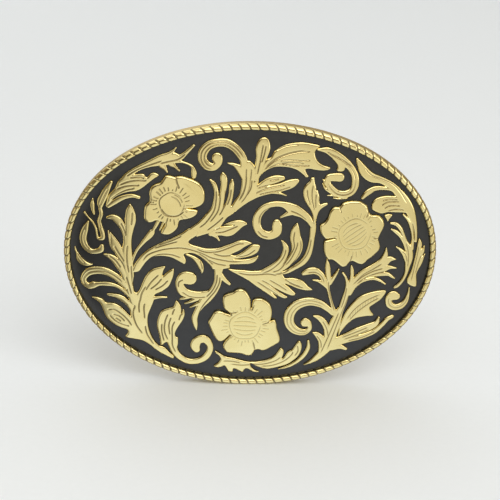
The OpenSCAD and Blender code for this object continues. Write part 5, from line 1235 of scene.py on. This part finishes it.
def tube(path: Array, radius: Array, around: int) -> tuple[Array, list[Array]]:
    """Carries a circle along a path that lies in one plane, and closes both ends.

    Args:
        path: (n, 3) middle points.
        radius: the circle's radius at each.
        around: corners round the circle.

    Returns:
        The corners, ring by ring with a hub at each end, and the faces.
    """
    ahead = np.gradient(path, axis=0)
    ahead /= np.linalg.norm(ahead, axis=1)[:, None]
    middle = len(path) // 2
    square = np.cross(path[middle] - path[0], path[-1] - path[0])
    square /= np.linalg.norm(square)
    side = np.cross(ahead, square)
    turn = TURN * np.arange(around) / around
    rings = (path[:, None] + radius[:, None, None] * (
        np.cos(turn)[None, :, None] * square[None, None] + np.sin(turn)[None, :, None] * side[:, None]))
    points = np.vstack([rings.reshape(-1, 3), path[:1], path[-1:]])
    rows = len(path)
    quads = grid_faces(rows, around, False, True)
    start = fan_faces(np.arange(around), rows * around, False)
    end = fan_faces((rows - 1) * around + np.arange(around), rows * around + 1, True)
    volume_sign = signed_volume(points, [quads, start, end])
    faces = [quads, start, end]
    if volume_sign < 0:
        faces = [block[:, ::-1] for block in faces]
    return points, faces


def signed_volume(points: Array, faces: Sequence[Array]) -> float:
    """Six times the volume inside closed faces: the sum of each fan triangle's triple product."""
    total = 0.0
    for block in faces:
        for k in range(1, block.shape[1] - 1):
            a, b, c = points[block[:, 0]], points[block[:, k]], points[block[:, k + 1]]
            total += float((a * np.cross(b, c)).sum())
    return total


def arc(centre: Array, start: Array, end: Array, steps: int) -> Array:
    """A quarter of an ellipse from centre + start to centre + end: start * cos + end * sin."""
    turn = np.linspace(0, math.pi / 2, steps)[:, None]
    return centre + start * np.cos(turn) + end * np.sin(turn)


def round_ends(length: float, radius: float, steps: int) -> tuple[Array, Array]:
    """Places and radii of a round nose: distance back from the tip, and the radius there.

    Args:
        length: how long the nose is.
        radius: the radius where it meets the straight.
        steps: how many rings it has.

    Returns:
        The distances, from the tip, and the radii of an ellipse's quarter.
    """
    turn = np.linspace(0.12, math.pi / 2, steps)
    return length * (1 - np.cos(turn)), radius * np.sin(turn)


@dataclass
class BeltBail:
    """The wire loop: two pins bent inwards, two arms and the far bar."""

    bend: float = 2.4 * MM
    nose: float = 0.45 * MM
    around: int = 32

    def build(self) -> bpy.types.Object:
        """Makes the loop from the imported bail's box and hinge.

        Returns:
            The piece.
        """
        low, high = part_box("bail")
        hinge = next(j for j in frame["joints"] if j["child"] == "bail")["pos_m"]
        radius = (high.y - low.y) / 2
        arm, bar = high.z - radius, high.x - radius
        pin_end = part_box("lug_upper")[0].z - 0.5 * MM
        level = hinge[1]
        right, up = np.array([1.0, 0, 0]), np.array([0, 0, 1.0])
        back, nose = round_ends(self.nose, radius, 6)
        pin = np.array([hinge[0], level, 0.0])
        half = [pin + up * (pin_end + back[:, None])]
        corner = np.array([hinge[0] + self.bend, level, arm - self.bend])
        straight = np.linspace(pin_end + self.nose, arm - self.bend, 6)[1:-1, None]
        half.append(pin + up * straight)
        half.append(arc(corner, -right * self.bend, up * self.bend, 14))
        run = np.linspace(hinge[0] + self.bend, bar - self.bend, 8)[1:-1, None]
        half.append(np.array([0, level, arm]) + right * run)
        far = np.array([bar - self.bend, level, arm - self.bend])
        half.append(arc(far, up * self.bend, right * self.bend, 14))
        half.append(np.array([bar, level, 0]) + up * np.linspace(arm - self.bend, 0, 7)[1:, None])
        upper = np.vstack(half)
        lower = upper[:-1][::-1] * np.array([1, 1, -1])
        path = np.vstack([upper, lower])
        radii = np.full(len(path), radius)
        radii[:len(nose)], radii[-len(nose):] = nose, nose[::-1]
        points, faces = tube(path, radii, self.around)
        wear = np.clip((points[:, 0] - bar + 3 * MM) / (3 * MM), 0, 1)
        piece = make_piece("bail_wire", points, faces, Slot.WIRE, "bail", {"wear": wear})
        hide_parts("bail")
        return piece


@dataclass
class BailLug:
    """A lug: an ear round the pin's bore that runs straight down to its foot on the plate.

    Seen along the pin, its edge at an angle from the plate's direction is the circle of the ear,
    or the straight flank and foot where these lie further out.
    """

    node: str
    bore_gap: float = 0.05 * MM
    bevel: float = 0.25 * MM
    around: int = 96

    def build(self) -> bpy.types.Object:
        """Makes the lug from its CAD box.

        Returns:
            The piece.
        """
        low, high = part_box(self.node)
        wire = (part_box("bail")[1].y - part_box("bail")[0].y) / 2
        hinge = next(j for j in frame["joints"] if j["child"] == "bail")["pos_m"]
        ear, bore = (high.x - low.x) / 2, wire + self.bore_gap
        turn = TURN * np.arange(self.around) / self.around
        toward = np.maximum(np.cos(turn), 1e-6)
        foot = hinge[1] - low.y + 0.02 * MM
        block = np.minimum(ear / np.maximum(np.abs(np.sin(turn)), 1e-6), foot / toward)
        edge = np.where(np.cos(turn) > 0, block, ear)
        rings = [(bore, low.z + self.bevel), (bore + self.bevel, low.z), (None, low.z),
                 (edge, low.z + self.bevel), (edge, high.z - self.bevel), (None, high.z),
                 (bore + self.bevel, high.z), (bore, high.z - self.bevel)]
        points = []
        for reach, level in rings:
            reach = edge - self.bevel if reach is None else reach * np.ones(self.around)
            points.append(np.stack([hinge[0] + reach * np.sin(turn),
                                    hinge[1] - reach * np.cos(turn),
                                    np.full(self.around, level)], 1))
        corners = np.vstack(points)
        quads = grid_faces(len(rings), self.around, True, True)
        if signed_volume(corners, [quads]) < 0:
            quads = quads[:, ::-1]
        piece = make_piece(self.node + "_ear", corners, [quads], Slot.BACK, "buckle")
        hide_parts(self.node)
        return piece


@dataclass
class BeltHook:
    """The hook: a round pad on the plate, and a prong that bends outwards to a round tip."""

    dome: Dome
    bend_radius: float = 2.4 * MM
    root: float = 1.2 * MM
    angle: float = math.radians(50)
    tip: float = 3 * MM
    chamfer: float = 0.6 * MM
    around: int = 40

    def build(self) -> None:
        """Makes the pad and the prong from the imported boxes."""
        low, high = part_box("hook_pad")
        middle, radius = (low.x + high.x) / 2, (high.z - low.z) / 2
        turn = TURN * np.arange(self.around * 2) / (self.around * 2)
        fillet = 0.5 * MM
        quarter = np.linspace(0, math.pi / 2, 6)
        profile = [(radius, low.y), (radius, high.y - fillet)]
        profile += [(radius - fillet * (1 - math.cos(a)), high.y - fillet * (1 - math.sin(a)))
                    for a in quarter[1:]]
        profile += [(radius * 0.62, high.y), (radius * 0.45, high.y)]
        rings = [np.stack([middle + r * np.cos(turn), np.full(len(turn), y), r * np.sin(turn)], 1)
                 for r, y in profile]
        points = np.vstack([*rings, [[middle, low.y, 0]], [[middle, high.y, 0]]])
        rows, columns = len(profile), len(turn)
        faces = [grid_faces(rows, columns, False, True),
                 fan_faces(np.arange(columns), rows * columns, False),
                 fan_faces((rows - 1) * columns + np.arange(columns), rows * columns + 1, True)]
        if signed_volume(points, faces) < 0:
            faces = [block[:, ::-1] for block in faces]
        pad = make_piece("hook_pad_disc", points, faces, Slot.BACK, "buckle")
        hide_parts("hook_pad")
        self.build_prong(middle, high.y)

    def build_prong(self, middle: float, level: float) -> bpy.types.Object:
        """Makes the prong: a straight root, an arc of a circle and a straight tip.

        Args:
            middle: the pad's middle, to the right.
            level: the pad's flat.

        Returns:
            The piece.
        """
        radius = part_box("hook_prong")[1].z
        root = np.stack([np.full(5, middle), level + np.linspace(-0.2 * MM, self.root, 5),
                         np.zeros(5)], 1)
        turn = np.linspace(0, self.angle, 18)[1:]
        bend = np.stack([middle - self.bend_radius * (1 - np.cos(turn)),
                         level + self.root + self.bend_radius * np.sin(turn),
                         np.zeros(len(turn))], 1)
        heading = np.array([-math.sin(self.angle), math.cos(self.angle), 0])
        whole = self.tip + self.chamfer
        nose_length = 1.3 * MM
        back, nose = round_ends(nose_length, radius, 9)
        straight = bend[-1] + heading * np.linspace(0, whole - nose_length, 5)[1:-1, None]
        end = bend[-1] + heading * (whole - back[::-1][:, None])
        path = np.vstack([root, bend, straight, end])
        radii = np.full(len(path), radius)
        radii[-len(nose):] = nose[::-1]
        points, faces = tube(path, radii, self.around)
        wear = np.clip((points[:, 1] - level) / (5 * MM), 0, 1)
        piece = make_piece("hook_stud", points, faces, Slot.WIRE, "buckle", {"wear": wear})
        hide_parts("hook_prong")
        return piece


# ---------------------------------------------------------------------------------------------
# Materials


Value = Union["Flow", float, int]


class Flow:
    """A number that runs through a node tree and takes part in arithmetic.

    Sums, differences and products with numbers or other flows make Math nodes, whichever side the
    number is on, and so does a quotient of the flow.
    """

    def __init__(self, tree: bpy.types.NodeTree, socket: bpy.types.NodeSocket) -> None:
        """Wraps an output socket.

        Args:
            tree: the tree that it belongs to.
            socket: the output socket.
        """
        self.tree = tree
        self.socket = socket

    def math(self, operation: str, *values: Value) -> "Flow":
        """Adds a Math node.

        Args:
            operation: its operation.
            values: what goes into it, in order.

        Returns:
            Its output.
        """
        node = self.tree.nodes.new("ShaderNodeMath")
        node.operation = operation
        for socket, value in zip(node.inputs, values):
            if isinstance(value, Flow):
                self.tree.links.new(value.socket, socket)
            else:
                socket.default_value = value
        return Flow(self.tree, node.outputs[0])

    def __add__(self, other: Value) -> "Flow":
        """Flow plus a value: an Add node."""
        return self.math("ADD", self, other)

    def __radd__(self, other: Value) -> "Flow":
        """A value plus the flow: an Add node."""
        return self.math("ADD", other, self)

    def __sub__(self, other: Value) -> "Flow":
        """Flow less a value: a Subtract node."""
        return self.math("SUBTRACT", self, other)

    def __rsub__(self, other: Value) -> "Flow":
        """A value less the flow: a Subtract node."""
        return self.math("SUBTRACT", other, self)

    def __mul__(self, other: Value) -> "Flow":
        """Flow times a value: a Multiply node."""
        return self.math("MULTIPLY", self, other)

    def __rmul__(self, other: Value) -> "Flow":
        """A value times the flow: a Multiply node."""
        return self.math("MULTIPLY", other, self)

    def __truediv__(self, other: Value) -> "Flow":
        """Flow over a value: a Divide node."""
        return self.math("DIVIDE", self, other)

    def __neg__(self) -> "Flow":
        """The flow's opposite: a Multiply node by -1."""
        return self.math("MULTIPLY", self, -1)

    def clamp(self) -> "Flow":
        """Keeps the number between 0 and 1."""
        return self.math("MAXIMUM", self.math("MINIMUM", self, 1), 0)

    def ramp(self, low: float, high: float) -> "Flow":
        """0 below low, 1 above high and a straight run between them."""
        return ((self - low) / (high - low)).clamp()


class Tree:
    """A material's or the world's node tree, with short ways to add to it."""

    def __init__(self, owner: Union[bpy.types.Material, bpy.types.World]) -> None:
        """Empties the owner's tree.

        Args:
            owner: the material or world.
        """
        owner.use_nodes = True
        self.tree = owner.node_tree
        self.tree.nodes.clear()

    def add(self, kind: str, settings: dict[str, object], inputs: dict[str, object],
            output: Union[int, str] = 0) -> Optional[Flow]:
        """Adds any node.

        Args:
            kind: the node's type, without "ShaderNode".
            settings: its properties.
            inputs: its inputs by name; a flow is linked and anything else is set.
            output: which output is returned.

        Returns:
            That output, or nothing for a node that ends the tree.
        """
        node = self.tree.nodes.new("ShaderNode" + kind)
        for key, value in settings.items():
            setattr(node, key, value)
        for key, value in inputs.items():
            if isinstance(value, Flow):
                self.tree.links.new(value.socket, node.inputs[key])
            else:
                node.inputs[key].default_value = value
        return Flow(self.tree, node.outputs[output]) if len(node.outputs) else None

    def mark(self, name: str) -> Flow:
        """A mesh attribute's number."""
        return self.add("Attribute", {"attribute_name": name}, {}, "Fac")

    def place(self) -> Flow:
        """Object coordinates, in metres."""
        return self.add("TexCoord", {}, {}, "Object")

    def parts(self, at: Flow) -> tuple[Flow, Flow, Flow]:
        """A vector's X, Y and Z."""
        outputs = self.add("SeparateXYZ", {}, {"Vector": at}).socket.node.outputs
        return Flow(self.tree, outputs[0]), Flow(self.tree, outputs[1]), Flow(self.tree, outputs[2])

    def noise(self, at: Flow, scale: float, detail: float, roughness: float = 0.5) -> Flow:
        """Noise from 0 to 1 at a scale of so many bumps a metre."""
        inputs = {"Vector": at, "Scale": scale, "Detail": detail, "Roughness": roughness}
        return self.add("TexNoise", {}, inputs, "Fac")

    def stretched(self, at: Flow, scale: Point) -> Flow:
        """The same coordinates, drawn out by a factor along each axis."""
        return self.add("Mapping", {}, {"Vector": at, "Scale": scale})

    def blend(self, share: Value, first: object, second: object) -> Flow:
        """A colour between two, by a share from 0 to 1."""
        node = self.tree.nodes.new("ShaderNodeMix")
        node.data_type = "RGBA"
        for socket, value in zip((node.inputs[0], node.inputs[6], node.inputs[7]),
                                 (share, first, second)):
            if isinstance(value, Flow):
                self.tree.links.new(value.socket, socket)
            else:
                socket.default_value = value
        return Flow(self.tree, node.outputs[2])

    def bump(self, height: Flow, distance: float, strength: float) -> Flow:
        """A bump from a height that is a share of a distance in metres."""
        return self.add("Bump", {}, {"Height": height, "Distance": distance,
                                     "Strength": strength}, "Normal")

    def surface(self, inputs: dict[str, object]) -> None:
        """Ends the tree in a Principled surface."""
        shader = self.add("BsdfPrincipled", {}, inputs)
        self.add("OutputMaterial", {}, {"Surface": shader})


def colour(red: float, green: float, blue: float) -> Point:
    """A colour in linear light, opaque."""
    return (red, green, blue, 1.0)


@dataclass(frozen=True)
class GoldFinish:
    """How one gold plated surface looks. Its dark tint is blended in where dark_mark is high: painted
    shade in the ornaments' engraved lines and the rope's grooves, and a darker tint on the wire's worn
    ends.
    """

    name: str
    bright: Point
    dull: Point
    # Dark tint: painted shade in grooves and engraved lines; on the wire, darker worn ends.
    shade_and_wear_tint: Point
    roughness: float
    dark_mark: str
    dark_range: tuple[float, float]
    dark_share: float
    grain: float


GOLD = colour(0.91, 0.78, 0.375)
DULL_GOLD = colour(0.85, 0.71, 0.31)
# Dark brown painted as shade in the ornaments' engraved lines, and as the wire's darker worn ends.
SHADE_AND_WEAR_UMBER = colour(0.16, 0.1, 0.03)

FINISHES = {
    Slot.ORNAMENT: GoldFinish("plated_gold", GOLD, DULL_GOLD, SHADE_AND_WEAR_UMBER, 0.13, "engraving",
                              (0.15, 0.9), 0.8, 0.5),
    # The rope's near-black tint is painted shade in the grooves between its strands.
    Slot.ROPE: GoldFinish("rope_plated_gold", GOLD, DULL_GOLD, colour(0.07, 0.045, 0.018), 0.15, "groove",
                          (0.75, 0.95), 0.88, 0.4),
    Slot.WIRE: GoldFinish("drawn_wire_gold", GOLD, colour(0.62, 0.5, 0.24), SHADE_AND_WEAR_UMBER, 0.24, "wear",
                          (0.2, 2.5), 0.5, 0.7),
}


def gold_material(finish: GoldFinish) -> bpy.types.Material:
    """Polished gold plate: painted shade in its engraved lines and grooves, a darker tint on worn wire
    ends, faint handling haze and fine scratches.

    Args:
        finish: the colours and amounts.

    Returns:
        The material.
    """
    material = bpy.data.materials.new(finish.name)
    tree = Tree(material)
    at = tree.place()
    cloud = tree.noise(at, 140, 4, 0.6)
    fine = tree.noise(at, 1600, 3, 0.6)
    scratch = tree.noise(tree.stretched(at, (0.25, 1, 1.6)), 5200, 2, 0.55)
    # Painted shade: engraved lines and rope grooves are blended towards the dark tint; on the wire the
    # worn ends darken.
    dark = tree.mark(finish.dark_mark).ramp(*finish.dark_range) * finish.dark_share
    dark = (dark * (0.75 + 0.5 * fine)).clamp()
    tone = tree.blend(cloud.ramp(0.35, 0.75), finish.bright, finish.dull)
    base = tree.blend(dark, tone, finish.shade_and_wear_tint)
    roughness = (finish.roughness + 0.16 * (cloud - 0.5) + 0.1 * (fine - 0.5) + 0.4 * dark).clamp()
    height = finish.grain * scratch + 0.6 * fine
    tree.surface({
        "Base Color": base, "Metallic": (1 - 0.35 * dark).clamp(), "Roughness": roughness,
        "Normal": tree.bump(height, 0.000012, 0.6),
    })
    return material


def enamel_material() -> bpy.types.Material:
    """Black fired enamel: deep gloss, faint waves from firing, hairline scratches and haze."""
    material = bpy.data.materials.new("glossy_black_enamel")
    tree = Tree(material)
    at = tree.place()
    wave = tree.noise(at, 90, 2, 0.5)
    haze = tree.noise(at, 260, 5, 0.62)
    line = tree.noise(tree.stretched(at, (1, 1, 0.06)), 4200, 2, 0.5).ramp(0.66, 0.74)
    base = tree.blend(haze.ramp(0.4, 0.8), colour(0.02, 0.021, 0.021),
                      colour(0.029, 0.03, 0.029))
    tree.surface({
        "Base Color": base, "Roughness": (0.1 + 0.08 * haze + 0.05 * line).clamp(),
        "IOR": 1.5,
        "Normal": tree.bump(wave + 0.05 * haze, 0.00005, 0.5),
    })
    return material


def back_material() -> bpy.types.Material:
    """The back's satin gold: brushed along X, dulled by age, with darker spots of tarnish."""
    material = bpy.data.materials.new("brushed_antique_gold")
    tree = Tree(material)
    at = tree.place()
    brush = tree.noise(tree.stretched(at, (0.04, 1, 1)), 5200, 3, 0.6)
    cloud = tree.noise(at, 75, 5, 0.6)
    spot = tree.noise(at, 420, 3, 0.6).ramp(0.6, 0.74)
    tone = tree.blend(cloud.ramp(0.3, 0.7), colour(0.83, 0.69, 0.34), colour(0.66, 0.52, 0.23))
    dark = (spot * cloud.ramp(0.4, 0.65) * 0.55).clamp()
    base = tree.blend(dark, tone, colour(0.12, 0.08, 0.035))
    tree.surface({
        "Base Color": base, "Metallic": (1 - 0.3 * dark).clamp(),
        "Roughness": (0.28 + 0.16 * cloud + 0.1 * brush + 0.2 * dark).clamp(),
        "Normal": tree.bump(brush, 0.00002, 0.7),
    })
    return material


def paint_everything() -> None:
    """Gives every shown piece the material of its slot."""
    made = {slot: gold_material(finish) for slot, finish in FINISHES.items()}
    made[Slot.ENAMEL] = enamel_material()
    made[Slot.BACK] = back_material()
    by_value = {slot.value: material for slot, material in made.items()}
    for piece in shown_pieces():
        piece.data.materials.clear()
        piece.data.materials.append(by_value[piece["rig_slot"]])


# ---------------------------------------------------------------------------------------------
# Stage, light and camera


def stage_floor() -> None:
    """A pale floor under the buckle that curves up far behind it."""
    low = CAD_BOX[0].z
    rise = np.linspace(0, math.pi / 2, 16)
    y = np.concatenate([[-1.6], 0.9 + 0.4 * np.sin(rise), [1.3]])
    z = np.concatenate([[0], 0.4 * (1 - np.cos(rise)), [1.6]]) + low
    points = np.concatenate([np.stack([np.full(len(y), x), y, z], 1) for x in (-1.6, 1.6)])
    mesh = bpy.data.meshes.new("floor")
    mesh.from_pydata(points.tolist(), [], grid_faces(2, len(y), False, False).tolist())
    mesh.polygons.foreach_set("use_smooth", np.ones(len(mesh.polygons), bool))
    floor = bpy.data.objects.new("floor", mesh)
    bpy.context.scene.collection.objects.link(floor)
    material = bpy.data.materials.new("pale_paper")
    tree = Tree(material)
    grain = tree.noise(tree.place(), 700, 3, 0.6)
    tree.surface({
        "Base Color": tree.blend(grain, colour(0.81, 0.85, 0.88), colour(0.84, 0.88, 0.91)),
        "Roughness": (0.6 + 0.1 * grain).clamp(), "Specular IOR Level": 0.2,
    })
    mesh.materials.append(material)
    floor.visible_glossy = False


def light_world() -> None:
    """A soft studio seen in the gold: bright in front and below, dim above, dark to the left."""
    world = bpy.data.worlds.new("studio")
    bpy.context.scene.world = world
    tree = Tree(world)
    across, ahead, up = tree.parts(tree.place())
    table = (-up).ramp(-0.24, 0.02)
    ceiling = up.ramp(0.5, 0.72)
    low = (-up).ramp(0.35, 0.8)
    right = across.ramp(0.1, 0.6)
    left = (-across).ramp(0.34, 0.46) * (1 - (-across).ramp(0.72, 0.86))
    behind = ahead.ramp(-0.3, 0.15)
    walls = tree.blend(table, colour(0.2, 0.135, 0.07), colour(0.84, 0.82, 0.76))
    walls = tree.blend(low, walls, colour(0.98, 1.05, 1.14))
    walls = tree.blend((right * 0.14).clamp(), walls, colour(0.2, 0.15, 0.1))
    walls = tree.blend((left * 0.85).clamp(), walls, colour(0.07, 0.06, 0.05))
    walls = tree.blend((behind * (1 - ceiling)).clamp(), walls, colour(0.3, 0.25, 0.19))
    tint = tree.blend(ceiling, walls, colour(1.0, 0.98, 0.94))
    shader = tree.add("Background", {}, {"Color": tint, "Strength": 1.0})
    tree.add("OutputWorld", {}, {"Surface": shader})


@dataclass(frozen=True)
class Softbox:
    """A square or oblong lamp that faces the buckle."""

    name: str
    place: Point
    size: Point
    power: float
    tint: Point = (1.0, 1.0, 1.0)
    in_gold: bool = True

    def build(self) -> None:
        """Adds the lamp, facing the buckle's middle."""
        data = bpy.data.lights.new(self.name, "AREA")
        data.shape = "RECTANGLE"
        data.size, data.size_y = self.size
        data.energy = self.power
        data.color = self.tint
        lamp = bpy.data.objects.new(self.name, data)
        lamp.visible_glossy = self.in_gold
        spot = Vector(self.place)
        lamp.location = spot
        lamp.rotation_mode = "QUATERNION"
        lamp.rotation_quaternion = spot.to_track_quat("Z", "Y")
        bpy.context.scene.collection.objects.link(lamp)


SOFTBOXES = (
    Softbox("over_front", (0.15, -0.6, 0.75), (0.9, 0.6), 3.2, (1, 0.97, 0.92)),
    Softbox("right_side", (0.8, -0.5, 0.25), (0.5, 0.7), 1.6),
    Softbox("back_fill", (-0.4, 0.7, 0.5), (0.9, 0.9), 1.2, (0.93, 0.96, 1)),
)


def place_camera() -> None:
    """Looks down at the face by 23 degrees from 0.38 m, turned 2 degrees and rolled a little.

    The turn takes the buckle's right, up and back to the camera's, as a roll, a yaw and a
    pitch in that order; the camera's place is where that turn and the shift leave it.
    """
    pitch, yaw, roll = math.radians(-23.12), math.radians(-2.08), math.radians(-0.65)
    shift = Vector((0.358, -3.598, 381.3)) * MM
    turn = Matrix.Rotation(roll, 3, "Z") @ Matrix.Rotation(yaw, 3, "Y") @ Matrix.Rotation(pitch, 3, "X")
    spot = -(turn.transposed() @ shift)
    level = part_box("enamel_field")[0].y - 1 * MM
    swap = Matrix(((1, 0, 0), (0, 0, 1), (0, 1, 0)))
    right, up, away = (swap @ turn[k] for k in range(3))
    bpy.context.scene.view_settings.view_transform = "Standard"
    data = bpy.data.cameras.new("camera")
    data.lens = 109.3
    data.sensor_width = 36
    data.clip_start, data.clip_end = 0.01, 10
    camera = bpy.data.objects.new("camera", data)
    camera.matrix_world = Matrix.Translation(swap @ spot + Vector((0, level, 0))) @ Matrix((
        right, up, -away)).transposed().to_4x4()
    bpy.context.scene.collection.objects.link(camera)
    bpy.context.scene.camera = camera


def main() -> None:
    """Builds the pieces, their materials, the stage, the light and the camera."""
    logging.basicConfig(level=logging.INFO, format="%(name)s: %(message)s")
    dome = Dome()
    for ornament in with_neighbours(ornaments()):
        ornament.build(dome)
    FacePlates(dome).build()
    RopeEdge(dome).build()
    BeltBail().build()
    BailLug("lug_upper").build()
    BailLug("lug_lower").build()
    BeltHook(dome).build()
    paint_everything()
    stage_floor()
    light_world()
    for softbox in SOFTBOXES:
        softbox.build()
    place_camera()


if __name__ == "__main__":
    main()
